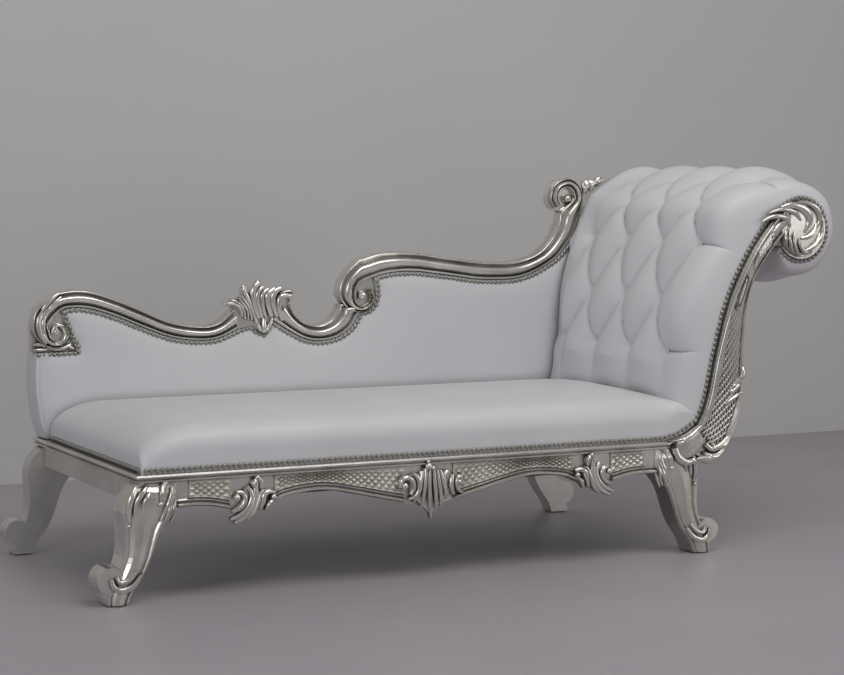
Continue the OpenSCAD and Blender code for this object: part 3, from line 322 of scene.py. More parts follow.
class Finish:
    """A material whose nodes are added one by one."""

    def __init__(self, name, **constants):
        self.material = bpy.data.materials.new(name)
        self.material.use_nodes = True
        self.tree = self.material.node_tree
        self.shader = self.tree.nodes["Principled BSDF"]
        self.place = self.add("TexCoord", output="Object")
        for socket, value in constants.items():
            self.shader.inputs[socket.replace("_", " ")].default_value = value

    def add(self, kind, settings=None, sockets=None, output=0):
        node = self.tree.nodes.new("ShaderNode" + kind)
        for key, value in (settings or {}).items():
            if key == "stops":
                ramp = node.color_ramp
                while len(ramp.elements) < len(value):
                    ramp.elements.new(0.5)
                for element, (where, colour) in zip(ramp.elements, value):
                    element.position = where
                    element.color = colour
            else:
                setattr(node, key, value)
        for key, value in (sockets or {}).items():
            if isinstance(value, Socket):
                self.tree.links.new(value.output, node.inputs[key])
            else:
                node.inputs[key].default_value = value
        return Socket(self, node.outputs[output])

    def noise(self, scale, detail=2.0, roughness=0.5, where=None):
        return self.add("TexNoise", {}, {"Vector": where or self.place, "Scale": scale, "Detail": detail,
                                         "Roughness": roughness}, output="Fac")

    def recess(self, reach, samples=6):
        """1 where other surfaces close in within reach, 0 in the open."""
        return 1 - self.add("AmbientOcclusion", {"samples": samples}, {"Distance": reach}, output="AO")

    def ramp(self, value, low, high):
        """0 below low, 1 above high."""
        return self.add("MapRange", {"clamp": True}, {"Value": value, "From Min": low, "From Max": high})

    def blend(self, amount, first, second):
        return self.add("Mix", {"data_type": "RGBA"}, {0: amount, 6: first, 7: second}, output=2)

    def set(self, **sockets):
        for key, value in sockets.items():
            self.tree.links.new(value.output, self.shader.inputs[key.replace("_", " ")])

    def bump(self, height, distance, strength=1.0):
        self.set(Normal=self.add("Bump", {}, {"Height": height, "Distance": distance, "Strength": strength}))

    def clear_from_behind(self):
        """Lets a view from behind the surface see through it."""
        behind = self.add("NewGeometry", output="Backfacing")
        clear = self.add("BsdfTransparent")
        lit = Socket(self, self.shader.outputs[0])
        surface = self.add("MixShader", {}, {0: behind, 1: lit, 2: clear})
        self.tree.links.new(surface.output, self.tree.nodes["Material Output"].inputs["Surface"])


def rgb(r, g, b):
    return (r, g, b, 1.0)


# Dark of the antiquing and of the painted shade in the silver's recesses
ANTIQUING_AND_SHADE = rgb(0.045, 0.042, 0.032)
FOLD_SHADE = rgb(0.20, 0.195, 0.20)
# How far, in metres, each finish looks for what closes in on it: the carving for its antiquing and painted
# shade, the leather and the metal for their painted shade
CARVING_RECESS, LEATHER_FOLD, METAL_RECESS = 0.011, 0.035, 0.006


def silver_leaf(name, bright, shade, antiquing_and_shade_strength, roughness):
    """Silver leaf over carving, with dark antiquing and painted shade in the recesses."""
    f = Finish(name)
    recess = f.recess(CARVING_RECESS)
    cloudy = f.noise(14, 3)
    fine = f.noise(170, 2)
    # Antiquing and painted shade: the leaf turns dark and dull where other surfaces close in
    patina_and_shade = f.ramp(recess + (cloudy - 0.5) * 0.35, 0.22, 0.72) * antiquing_and_shade_strength
    tint = f.blend(f.ramp(cloudy, 0.35, 0.68), bright, shade)
    f.set(Base_Color=f.blend(patina_and_shade, tint, ANTIQUING_AND_SHADE),
          Metallic=(1 - patina_and_shade * 0.75).clamped(),
          Roughness=(fine * 0.05 + cloudy * 0.14 + patina_and_shade * 0.25 + (roughness - 0.08)).clamped())
    f.bump(fine * 0.2 + cloudy * 3, 0.0003, 0.35)
    return f.material


def leather(name, colour, shade, roughness):
    """Leather with fine cells and pores, and painted shade deep in its folds."""
    f = Finish(name, Specular_IOR_Level=0.42)
    cloudy = f.noise(5, 2)
    grain = f.add("TexVoronoi", {"feature": "DISTANCE_TO_EDGE"}, {"Vector": f.place, "Scale": 620.0})
    pores = f.noise(900, 2)
    fold = f.recess(LEATHER_FOLD)
    white = f.blend(f.ramp(cloudy, 0.3, 0.7), colour, shade)
    # Painted shade: deep in the folds the white turns towards FOLD_SHADE
    f.set(Base_Color=f.blend(f.ramp(fold, 0.2, 0.9) * 0.8, white, FOLD_SHADE),
          Roughness=(cloudy * 0.12 + pores * 0.08 + (roughness - 0.1)).clamped())
    f.bump(f.ramp(grain, 0.0, 0.18) * 0.6 + pores * 0.4, 0.00012, 0.45)
    return f.material


def planed_wood(name, colour, shade, roughness):
    """Bare wood with its figure drawn out along X."""
    f = Finish(name)
    stretched = f.add("Mapping", {}, {"Vector": f.place, "Scale": (3.0, 40.0, 40.0)})
    figure = f.noise(6, 4, 0.6, stretched)
    f.set(Base_Color=f.blend(f.ramp(figure, 0.3, 0.7), colour, shade),
          Roughness=(figure * 0.2 + (roughness - 0.1)).clamped())
    f.bump(figure, 0.0003, 0.4)
    return f.material


def woven(name, colour, shade, threads):
    """Plain weave of two crossing sets of threads."""
    f = Finish(name)
    warp = f.add("TexWave", {"bands_direction": "X"}, {"Vector": f.place, "Scale": threads})
    weft = f.add("TexWave", {"bands_direction": "Y"}, {"Vector": f.place, "Scale": threads})
    cloth = warp * 0.5 + weft * 0.5
    f.set(Base_Color=f.blend(cloth, colour, shade), Roughness=(cloth * 0.1 + 0.75).clamped())
    f.bump(cloth, 0.0004, 0.6)
    return f.material


def plain_metal(name, colour, dark, roughness):
    """Metal with painted shade where other things come close."""
    f = Finish(name)
    recess = f.recess(METAL_RECESS, 4)
    fine = f.noise(260, 2)
    # Painted shade: the metal turns dark and less metallic where other things close in
    patina_and_shade = f.ramp(recess, 0.3, 0.85)
    f.set(Base_Color=f.blend(patina_and_shade, colour, dark), Metallic=(1.0 - patina_and_shade * 0.5).clamped(),
          Roughness=(fine * 0.15 + (roughness - 0.07)).clamped())
    return f.material


def matt(name, colour, shade, roughness, scale=60, one_sided=False):
    """A dull, slightly cloudy finish."""
    f = Finish(name)
    cloudy = f.noise(scale, 3)
    f.set(Base_Color=f.blend(f.ramp(cloudy, 0.3, 0.7), colour, shade),
          Roughness=(cloudy * 0.1 + (roughness - 0.05)).clamped())
    f.bump(cloudy, 0.0004, 0.3)
    if one_sided:
        f.clear_from_behind()
    return f.material


PLAIN_SILVER = silver_leaf("plain_silver_paint", rgb(0.76, 0.745, 0.71), rgb(0.66, 0.645, 0.61), 0.5, 0.42)
FINISH_OF_SLOT = {
    "silver_leaf": silver_leaf("carved_silver_leaf", rgb(0.86, 0.84, 0.785), rgb(0.68, 0.655, 0.595),
                               0.95, 0.24),
    "plain_silver": PLAIN_SILVER,
    "white_leather": leather("white_leather", rgb(0.71, 0.705, 0.725), rgb(0.68, 0.675, 0.695), 0.40),
    "nail_silver": plain_metal("antique_nail_silver", rgb(0.36, 0.345, 0.31), rgb(0.02, 0.018, 0.015), 0.26),
    "bare_wood": planed_wood("planed_beech", rgb(0.46, 0.31, 0.18), rgb(0.36, 0.23, 0.125), 0.55),
    "black_cloth": woven("woven_webbing", rgb(0.05, 0.05, 0.055), rgb(0.09, 0.09, 0.095), 160),
    "foam": matt("upholstery_foam", rgb(0.80, 0.73, 0.5), rgb(0.74, 0.66, 0.43), 0.85, 300),
    "glide_plastic": matt("dark_glide", rgb(0.035, 0.035, 0.035), rgb(0.05, 0.05, 0.05), 0.5),
    "screw_steel": plain_metal("screw_steel", rgb(0.55, 0.56, 0.57), rgb(0.2, 0.2, 0.2), 0.35),
}
# The lattice is duller than the rest, and the wood that shows from behind is painted
FINISH_OF_NODE = {
    "apron_lattice": silver_leaf("lattice_silver_leaf", rgb(0.74, 0.71, 0.64), rgb(0.60, 0.575, 0.51),
                                 0.95, 0.52),
    "back_rail": PLAIN_SILVER, "back_posts": PLAIN_SILVER, "back_board": PLAIN_SILVER,
}
for part in frame["record"]["subparts"]:
    materials = frame["nodes"][part["node"]].data.materials
    materials.clear()
    materials.append(FINISH_OF_NODE.get(part["node"], FINISH_OF_SLOT[part["material_slot"]]))


# ---- headrest pad
ROLL = np.array([1750.0, 795.0])
LINE_R, TUFT_R, DISC_R = 75, 126, 66


def on_roll(r, degrees):
    """The point at radius r round the middle of the roll."""
    return (ROLL[0] + r * math.cos(math.radians(degrees)), ROLL[1] + r * math.sin(math.radians(degrees)))


# The frame's edge under the pad, and the line of the buttons above it, knot by knot
BASE_LINE = points(
    (1446, 322), (1471, 379), (1499, 501), (1535, 624), (1588, 728), (1648, 808), on_roll(LINE_R, 118),
    on_roll(LINE_R, 78), on_roll(LINE_R, 36), on_roll(LINE_R, -10), on_roll(LINE_R, -58),
    on_roll(LINE_R, -104), on_roll(LINE_R, -145))
TUFT_LINE = points(
    (1403, 366), (1403, 430), (1412, 495), (1445, 622), (1505, 761), (1562, 853), (1675, 914),
    on_roll(TUFT_R, 85), on_roll(TUFT_R + 4, 40), on_roll(TUFT_R, -8), on_roll(TUFT_R, -58),
    on_roll(TUFT_R - 8, -104), on_roll(86, -140))
# How far the pad stands off the base line at its back edge, by knots
EDGE_OUT = points(
    (0, 64), (1, 74), (2, 72), (3, 101), (4, 117), (5, 138), (6, 101), (7, 66), (8, 54), (9, 46), (10, 36),
    (11, 24), (12, 12))
LAST_S = len(BASE_LINE) - 1
PAD_Y0, PAD_Y1 = 4, CREST_Y - 1
FLANGE = NAIL_D + 2
# The tufts: rows stand on knots, columns lie in Y, and every other row is offset by half a column
FIRST_ROW, LAST_ROW, ROW_STEP = 2, 6, 125
FIRST_TUFT, TUFT_PITCH, TUFT_COLS = 92, 165, 3
LAST_TUFT = FIRST_TUFT + TUFT_COLS * TUFT_PITCH
PUFF_H, SHARP_FOLD, SOFT_FOLD = 29, 0.34, 0.75
PLAIN_UNTIL, PLAIN_PUFF = 1.7, 0.5
ROLL_FROM, ROLL_RUN, ROLL_FLATTER = 7, 3, 0.3
DIMPLE, DIMPLE_REACH = 6, 17
PLEAT, PLEAT_WIDTH, PLEAT_RUN, PLEAT_START = 6, 4, 12, 20


def clamp(x, a, b):
    return max(a, min(b, x))


def puff(s, y):
    """Height of the puffs, 0 to 1: sharp folds one way of the diamond grid, softer ones the other.
    Below the first row the pad is plain."""
    r = clamp(s - FIRST_ROW, 0, LAST_ROW - FIRST_ROW)
    c = clamp((y - FIRST_TUFT) / TUFT_PITCH, 0, TUFT_COLS)
    sharp = abs(math.sin(math.pi * (c - r / 2))) ** SHARP_FOLD
    soft = abs(math.sin(math.pi * (c + r / 2))) ** SOFT_FOLD
    low = clamp(1 - s / PLAIN_UNTIL, 0, 1) ** 2
    return sharp * soft * (1 - low) + PLAIN_PUFF * low


def pleat(s, y):
    """The fold that runs from each front tuft to the nails, 1 at its bottom."""
    row = 2 * clamp(round(s / 2), 1, LAST_ROW // 2)
    run = clamp((FIRST_TUFT - y) / PLEAT_RUN, 0, 1) * clamp((y - PAD_Y0) / PLEAT_START, 0, 1)
    return run * math.exp(-abs(s - row) * ROW_STEP / PLEAT_WIDTH)


def dimple(s, y):
    """The pull of the nearest tuft, 1 at its button."""
    row = clamp(round(s), FIRST_ROW, LAST_ROW)
    start = 0 if row % 2 == 0 else 0.5
    c = clamp((y - FIRST_TUFT) / TUFT_PITCH, 0, TUFT_COLS)
    column = clamp(round(c - start), 0, TUFT_COLS - 2 * start) + start
    away = ((s - row) * ROW_STEP) ** 2 + (y - FIRST_TUFT - column * TUFT_PITCH) ** 2
    return math.exp(-away / DIMPLE_REACH ** 2)


def pad_out(s, y):
    """How far the leather stands off the base line: round at the front, blended to EDGE_OUT at the back."""
    gap = np.linalg.norm(along(TUFT_LINE, s) - along(BASE_LINE, s))
    fade = 1 - ROLL_FLATTER * clamp((s - ROLL_FROM) / ROLL_RUN, 0, 1)
    whole = gap + PUFF_H * fade * puff(s, y) - DIMPLE * dimple(s, y) - PLEAT * pleat(s, y)
    v = clamp((y - PAD_Y0) / (FIRST_TUFT - PAD_Y0), 0, 1)
    front = FLANGE + (whole - FLANGE) * math.sqrt(1 - (1 - v) ** 3)
    w = clamp((y - LAST_TUFT) / (PAD_Y1 - LAST_TUFT), 0, 1)
    back = w * w * (3 - 2 * w)
    return front * (1 - back) + float(np.interp(s, EDGE_OUT[:, 0], EDGE_OUT[:, 1])) * back


def pad_point(s, y):
    a, b = along(BASE_LINE, s), along(TUFT_LINE, s)
    q = a + unit(b - a) * pad_out(s, y)
    return (q[0], y, q[1])


def headrest_pad():
    pad = Carving()
    rows = np.concatenate([np.linspace(PAD_Y0, PAD_Y0 + 30, 8)[:-1], np.linspace(PAD_Y0 + 30, PAD_Y1 - 16, 122),
                           [PAD_Y1 - 10, PAD_Y1 - 5, PAD_Y1 - 2, PAD_Y1]])
    at_pleats = [row + d for row in (2, 4, 6) for d in (-0.05, -0.02, 0, 0.02, 0.05)]
    steps = np.unique(np.concatenate([np.linspace(0, LAST_S, 250), at_pleats]))
    back = beside(np.array([along(BASE_LINE, s) for s in np.linspace(0, LAST_S, 60)]), FIT)[::-1]
    sheet = [[pad_point(s, y) for s in steps] + [(q[0], y, q[1]) for q in back] for y in rows]
    pad.tube(sheet)
    piece = pad.build("headrest_pad", "white_leather", crease=60)
    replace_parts(piece, "headrest_cover")


# Height over the leather and radius of each ring of a button
BUTTON_RINGS = ((-3, 7.0), (-0.5, 8.4), (1.2, 7.9), (2.4, 6.0), (3.1, 3.2), (3.3, 0.6))


def cushion_buttons():
    buttons = Carving()
    for s in range(FIRST_ROW, LAST_ROW + 1):
        out = unit(along(TUFT_LINE, s) - along(BASE_LINE, s))
        start = 0 if s % 2 == 0 else 0.5
        for c in np.arange(start, TUFT_COLS + 0.01, 1):
            centre = np.array(pad_point(s, FIRST_TUFT + c * TUFT_PITCH))
            buttons.head(centre, np.array([out[0], 0, out[1]]), DEEP, BUTTON_RINGS, 20)
    piece = buttons.build("covered_buttons", "white_leather", crease=70)
    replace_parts(piece, "tuft_buttons")


# ---- seat
SEAT_X0, SEAT_END = 5, 1440
SEAT_Y0, SEAT_Y1 = 5, PAD_EDGE_Y - 7 - FIT
SEAT_EDGE, SEAT_CROWN, SEAT_ROUND, SEAT_TIP = 92, 30, 46, 30
SEAT_SLOPE, SEAT_FALL = 130, SEAT_EDGE * 0.68
CREASE, SQUARE_FROM = 1394, 1360
CROWN_LEFT, CROWN_RIGHT = 260, 140
BACK_TUCK = 4
START_LINE = spline(points((1353, 283), (1402, 296), (1446, 322)), 3)


def seat_under(x):
    """Height of what the seat rests on: the rail, then the foot of the headrest."""
    line = np.vstack([[0, RAIL_TOP], [1353, RAIL_TOP], START_LINE + [0, FIT], [1450, 326]])
    return float(np.interp(x, line[:, 0], line[:, 1]))


def seat_side(x):
    """Height of the seat along its front edge: rounded at the foot end, falling behind the crease."""
    left = SEAT_FALL * (1 - math.sqrt(1 - clamp(1 - (x - SEAT_X0) / SEAT_SLOPE, 0, 1) ** 2))
    fall = RAIL_TOP + SEAT_EDGE - seat_under(SEAT_END) - SEAT_TIP
    return RAIL_TOP + SEAT_EDGE - left - fall * clamp((x - CREASE) / (SEAT_END - CREASE), 0, 1) ** 1.8


def seat_top(x, y):
    """Height of the crowned leather."""
    u = clamp((y - SEAT_Y0) / (SEAT_Y1 - SEAT_Y0), 0, 1)
    v = clamp((x - SEAT_X0) / CROWN_LEFT, 0, 1)
    w = clamp((SEAT_END - x) / CROWN_RIGHT, 0, 1)
    return seat_side(x) + SEAT_CROWN * math.sin(math.pi * u ** 0.8) * math.sin(math.pi / 2 * v) * w


def seat_pad():
    pad = Carving()
    stations = np.concatenate([SEAT_X0 + np.array([0, 1.5, 4, 8, 13, 19, 26, 34, 44]),
                               np.linspace(SEAT_X0 + 56, CREASE - 10, 96), np.linspace(CREASE, SEAT_END, 10)])
    rows = []
    for x in stations:
        low, top = seat_under(x), seat_side(x)
        squarer = 1 - 0.8 * clamp((x - SQUARE_FROM) / (SEAT_END - SQUARE_FROM), 0, 1)
        r = min(SEAT_ROUND, (top - low) * 0.8) * squarer
        ring = [(x, SEAT_Y0, low + (top - r - low) * t) for t in np.linspace(0, 1, 5)[:-1]]
        for a in np.radians(np.linspace(0, 90, 12)):
            y = SEAT_Y0 + r * (1 - math.cos(a))
            ring.append((x, y, top - r + r * math.sin(a) + seat_top(x, y) - top))
        for t in np.linspace(0, 1, 50)[1:]:
            y = SEAT_Y0 + r + (SEAT_Y1 - SEAT_Y0 - r) * t
            ring.append((x, y, seat_top(x, y) - BACK_TUCK * (t == 1)))
        ring += [(x, y, low + 4) for y in (SEAT_Y1, SEAT_Y1 - 60, SEAT_Y0 + 60)] + [(x, SEAT_Y0 + 13, low)]
        rows.append(ring)
    pad.tube(rows)
    piece = pad.build("seat_pad", "white_leather", crease=60)
    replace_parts(piece, "seat_cover")


# ---- carved ornament
# Each strand: its width, then the points that it follows, in X and Z. Each ball: its radius and its middle.
SHELL_STRANDS = (
    (11, (509, 569), (505, 586), (494, 598), (478, 604), (466, 601)),
    (10, (517, 563), (514, 581), (505, 597), (491, 608), (479, 611)),
    (10, (525, 561), (523, 581), (514, 596), (505, 608), (501, 616)),
    (11, (535, 560), (531, 578), (524, 595), (514, 610), (506, 622)),
    (15, (545, 562), (535, 585), (527, 605), (519, 622), (513, 635), (514, 643)),
    (18, (555, 564), (546, 585), (540, 605), (538, 627), (542, 643), (553, 653)),
    (15, (564, 565), (557, 585), (551, 604), (549, 621), (555, 635), (565, 643)),
    (14, (574, 565), (567, 584), (563, 604), (562, 621), (570, 632), (579, 637)),
    (19, (590, 567), (583, 585), (578, 604), (577, 619), (584, 629), (597, 637)),
    (18, (605, 567), (597, 586), (592, 605), (593, 621), (601, 633), (614, 639)),
    (19, (621, 557), (613, 577), (609, 595), (612, 612), (622, 619), (643, 619)),
    (8, (612, 625), (625, 630), (639, 631), (649, 626)),
    (12, (546, 564), (549, 550), (560, 532)),
    (12, (590, 563), (585, 549), (574, 531)),
    (15, (567, 564), (568, 546), (568, 527)),
)
VOLUTE_SCROLL = (
    (12, (15, 543), (19, 557), (29, 563), (42, 556), (48, 541), (40, 523), (21, 516), (2, 520)),
    (8, (31, 546), (24, 552), (24, 560)),
)
VOLUTE_BALLS = ((7, (24, 547)),)
VOLUTE_LEAVES = (
    (15, (-13, 597), (-22, 578), (-22, 556), (-15, 535), (-3, 519)),
    (12, (-3, 592), (-11, 570), (-10, 548), (-2, 531)),
    (12, (30, 640), (17, 632), (5, 621), (-8, 607), (-15, 591)),
    (10, (35, 632), (22, 622), (9, 609), (-1, 592)),
)
FOOT_LEAVES = (
    (11, (-34, 515), (-24, 516), (-12, 516), (-3, 509)),
    (10, (-34, 503), (-17, 503), (2, 504)),
    (12, (0, 508), (21, 504), (45, 506), (62, 514)),
    (10, (37, 510), (45, 519), (50, 530)),
    (10, (72, 502), (63, 506), (52, 512)),
)
SHELL_TIPS = (
    (9, (551, 653)), (7, (513, 643)), (6, (563, 643)), (7, (612, 639)), (8, (640, 619)), (6, (577, 638)),
    (5, (465, 601)))
SIDE_SHELL = (
    (17, (271, 260), (266, 236), (266, 219), (258, 196), (241, 177), (216, 164)),
    (16, (247, 243), (254, 234), (257, 219), (249, 199), (230, 182), (207, 172)),
    (15, (222, 231), (233, 231), (240, 222), (238, 208), (227, 196), (211, 189)),
    (13, (285, 236), (278, 226), (272, 209), (261, 184), (246, 170)),
    (15, (313, 226), (299, 230), (287, 223), (283, 208), (276, 188)),
    (12, (310, 212), (299, 203), (291, 186)),
    (12, (270, 264), (279, 254), (278, 236)),
    (12, (269, 262), (262, 250), (265, 236)),
)
SIDE_BALLS = ((8, (221, 221)), (7, (309, 217)), (6, (270, 263)))
CENTRE_SHELL = (
    (13, (701, 256), (699, 224), (700, 185), (705, 142)),
    (13, (691, 257), (688, 225), (685, 196), (682, 168)),
    (13, (682, 252), (677, 228), (671, 204), (662, 181)),
    (13, (711, 256), (713, 223), (716, 189), (716, 158)),
    (13, (720, 253), (724, 223), (729, 193), (730, 168)),
    (13, (728, 252), (734, 227), (741, 202), (745, 184)),
    (15, (659, 247), (671, 234), (674, 212), (664, 194), (649, 188)),
    (14, (627, 216), (628, 231), (640, 239), (655, 232), (661, 214), (652, 199)),
    (15, (747, 249), (737, 236), (739, 213), (750, 192)),
    (14, (760, 240), (756, 214), (766, 192)),
    (12, (785, 233), (775, 234), (769, 220), (775, 204), (790, 194)),
)
CENTRE_BALLS = ((8, (636, 220)), (7, (777, 221)), (9, (697, 262)), (6, (708, 257)), (5, (696, 273)))
DISC_STRANDS = (
    (15, (1624, 817), (1650, 828), (1678, 829), (1697, 821), (1709, 803)),
    (13, (1645, 838), (1675, 846), (1703, 844), (1725, 835), (1740, 818)),
    (22, (1680, 851), (1710, 857), (1743, 849), (1764, 832), (1765, 810), (1752, 789)),
    (16, (1730, 865), (1763, 860), (1788, 845), (1797, 820), (1787, 799)),
    (14, (1808, 818), (1806, 788), (1793, 766), (1768, 749)),
    (15, (1787, 811), (1780, 793), (1762, 778), (1740, 774)),
    (13, (1799, 786), (1786, 762), (1766, 747), (1746, 741)),
    (13, (1734, 775), (1737, 756), (1752, 739), (1776, 739)),
    (12, (1721, 793), (1717, 767), (1724, 746), (1740, 729)),
    (11, (1707, 798), (1703, 773), (1710, 752), (1721, 736)),
    (10, (1693, 796), (1691, 771), (1698, 752)),
)
ARM_LEAVES = (
    (13, (1573, 466), (1568, 438), (1556, 418), (1542, 406)),
    (12, (1565, 424), (1554, 404), (1536, 394)),
    (11, (1569, 396), (1548, 382), (1523, 365)),
    (13, (1459, 274), (1481, 262), (1499, 258), (1521, 268), (1533, 288)),
    (11, (1480, 280), (1490, 265), (1512, 263)),
    (13, (1424, 232), (1439, 238), (1457, 232), (1475, 227), (1496, 234), (1517, 250)),
    (11, (1460, 252), (1478, 240), (1496, 240), (1512, 253)),
)
ARM_BALLS = ((8, (1429, 233)), (7, (1543, 397)), (6, (1550, 412)))
ARM_LOBE = ((54, (1372, 268), (1397, 262), (1423, 275), (1445, 294)),)
ARM_EDGE = ((19, (1369, 268), (1378, 245), (1401, 231), (1424, 234)),)
ARM_TIP = ((9, (1421, 233)),)
ARM_FOOT = (
    (17, (1437, 234), (1464, 236), (1491, 238), (1509, 249)),
    (17, (1459, 248), (1482, 240), (1504, 245), (1520, 264)),
    (15, (1463, 272), (1481, 258), (1506, 266), (1528, 286)),
)
# Leaves on the knee, ear and toe of the front left leg, which the right one has mirrored
KNEE_LEAVES = (
    (16, (11, 270), (-8, 258), (-24, 234), (-30, 207), (-27, 179)),
    (14, (14, 257), (1, 244), (-12, 224), (-17, 196)),
    (11, (17, 244), (6, 229), (-2, 208)),
    (15, (68, 268), (55, 262), (46, 244), (43, 222)),
    (13, (72, 252), (67, 231), (55, 204), (44, 180)),
)
EAR_LEAVES = (
    (12, (73, 236), (64, 205), (53, 179)),
    (11, (78, 226), (71, 200), (60, 175)),
    (10, (83, 216), (77, 192), (68, 172)),
)
TOE_LEAVES = (
    (14, (-4, 66), (-23, 44), (-48, 35), (-66, 44), (-72, 62)),
    (11, (-13, 77), (-31, 58), (-52, 53), (-60, 66)),
)
KNEE_BALLS = ((6, (42, 218)), (4, (-29, 174)))


# How far a laid strand or bar stands off the face under it
LEAF_PROUD, BAR_PROUD = 0.8, 0.6
SHELL_PLATE = points(
    (632, 560), (612, 606), (600, 628), (578, 624), (552, 640), (530, 634), (512, 618), (496, 606),
    (486, 596), (490, 560))
CENTRE_PLATE = points(
    (652, 246), (756, 246), (758, 204), (742, 188), (716, 162), (705, 148), (690, 164), (668, 184),
    (652, 200))
SIDE_PLATE = points((240, 240), (296, 230), (290, 200), (262, 186), (232, 176), (232, 200))


def leaves(carving, table, height, y0, mirror=None, **shape):
    """The strands of a table, all at the depth y0."""
    for width, *knots in table:
        strand(carving, mirrored(knots, mirror), width, height, y0, **shape)


def laid(carving, table, height, face, missing, mirror=None, **shape):
    """The strands of a table, on the face of a curved piece."""
    for width, *knots in table:
        knots = mirrored(knots, mirror)
        y0 = face(strand_line(knots), missing) + LEAF_PROUD
        strand(carving, knots, width, height, y0, **shape)


def balls(carving, table, y0, mirror=None):
    for radius, centre in table:
        ball(carving, mirrored(centre, mirror), radius, y0)


# ---- crest
NAIL_OFF = 5
LEFT_C, MIDDLE_C, RIGHT_C = (27, 546), (846, 615), (1458, 862)
# Volutes: degrees, inner radius and outer radius
LEFT_SWIRL = (
    (405, 16, 25), (360, 19, 31), (315, 22, 35), (270, 25, 38), (225, 20, 47), (180, 17, 62), (140, 27, 76))
MIDDLE_SWIRL = (
    (405, 20, 29), (360, 23, 35), (315, 26, 38), (270, 29, 42), (225, 23, 55), (180, 15, 69), (138, 20, 76),
    (100, 30, 92))
RIGHT_SWIRL = (
    (-14, 18, 52), (20, 21, 54), (55, 25, 54), (90, 29, 54), (135, 31, 54), (180, 30, 51), (215, 27, 46))


def raised(*pairs):
    """Points of a rail's lower edge, above the row of nails."""
    return points(*pairs) + [0, NAIL_OFF]


LEFT_A = raised(
    (38, 592), (70, 598), (116, 593), (181, 572), (253, 542), (327, 516), (401, 507), (450, 512), (500, 532))
LEFT_B = points(
    (6, 632), (50, 646), (103, 645), (170, 624), (235, 597), (312, 564), (396, 549), (445, 557), (485, 591))
MIDDLE_A = raised(
    (593, 552), (644, 521), (687, 501), (730, 495), (777, 503), (815, 526), (832, 552), (842, 568))
MIDDLE_B = points(
    (642, 609), (650, 577), (680, 551), (722, 542), (755, 555), (776, 580), (780, 594), (800, 590))
RIGHT_A = raised(
    (882, 655), (912, 663), (959, 668), (1007, 667), (1055, 661), (1116, 653), (1177, 644), (1239, 641),
    (1301, 643), (1352, 656), (1402, 680), (1434, 701), (1462, 732), (1486, 764), (1501, 800))
RIGHT_B = points(
    (845, 711), (892, 723), (950, 726), (1007, 722), (1062, 714), (1122, 705), (1180, 698), (1239, 694),
    (1290, 695), (1330, 702), (1366, 716), (1390, 735), (1414, 765), (1430, 798), (1438, 828))
# The boss in a volute: a small step, then a dome
BOSS_R, BOSS_STEP, BOSS_SINK = 12, 0.15, 0.6
BOSS_RINGS = [(-BOSS_SINK, BOSS_R)] + [
    (CREST_RELIEF * (BOSS_STEP + (1 - BOSS_STEP) * math.sin(a)), BOSS_R * math.cos(a))
    for a in np.linspace(0, math.pi / 2, 6)[1:]]
# The rails' moulding, as shares of their width and relief
RAIL_SECTION = points(
    (0, 0.1), (0.05, 0.45), (0.14, 0.5), (0.2, 0.22), (0.32, 0.7), (0.48, 1), (0.64, 0.9), (0.74, 0.45),
    (0.8, 0.4), (0.88, 0.7), (0.96, 0.6), (1, 0.1))
LEFT_FOOT = points((52, 556), (60, 532), (74, 508), (76, 496), (-36, 496), (-36, 520), (-38, 560), (-26, 602))
MIDDLE_VOLUTE = points(
    (886, 636), (888, 612), (880, 588), (862, 574), (842, 570), (815, 580), (790, 598), (777, 620),
    (786, 652), (808, 684))
TOP_SCROLL = points(
    (1432, 828), (1414, 836), (1405, 850), (1404, 872), (1412, 894), (1432, 912), (1458, 917), (1486, 911),
    (1508, 894), (1514, 866), (1511, 836))
SHELL_ROOT = raised((501, 533), (535, 541), (552, 528), (570, 520), (580, 535), (592, 552))


def outline_between(low, high, *more):
    """An outline along the upper edge of a rail and back along its lower edge."""
    return np.vstack([spline(high, SMOOTH), *more, spline(low, SMOOTH)[::-1]])


def ledge(carving, low, high):
    """The strip behind the lower part of a rail."""
    low, high = spline(low, SMOOTH), spline(high, SMOOTH)
    top = low + (high - low) * 0.45
    carving.prism(np.vstack([top[SMOOTH:-SMOOTH], low[SMOOTH:-SMOOTH][::-1]]), CREST_BACK - 1, BACK_TOP)


def rail_band(carving, low, high):
    """The moulded front of a rail."""
    carving.grid(band_sheet(spline(low, SMOOTH), spline(high, SMOOTH), spline(RAIL_SECTION, 3),
                            PLATE_Y, CREST_RELIEF, PLATE_Y + 4), caps=True)


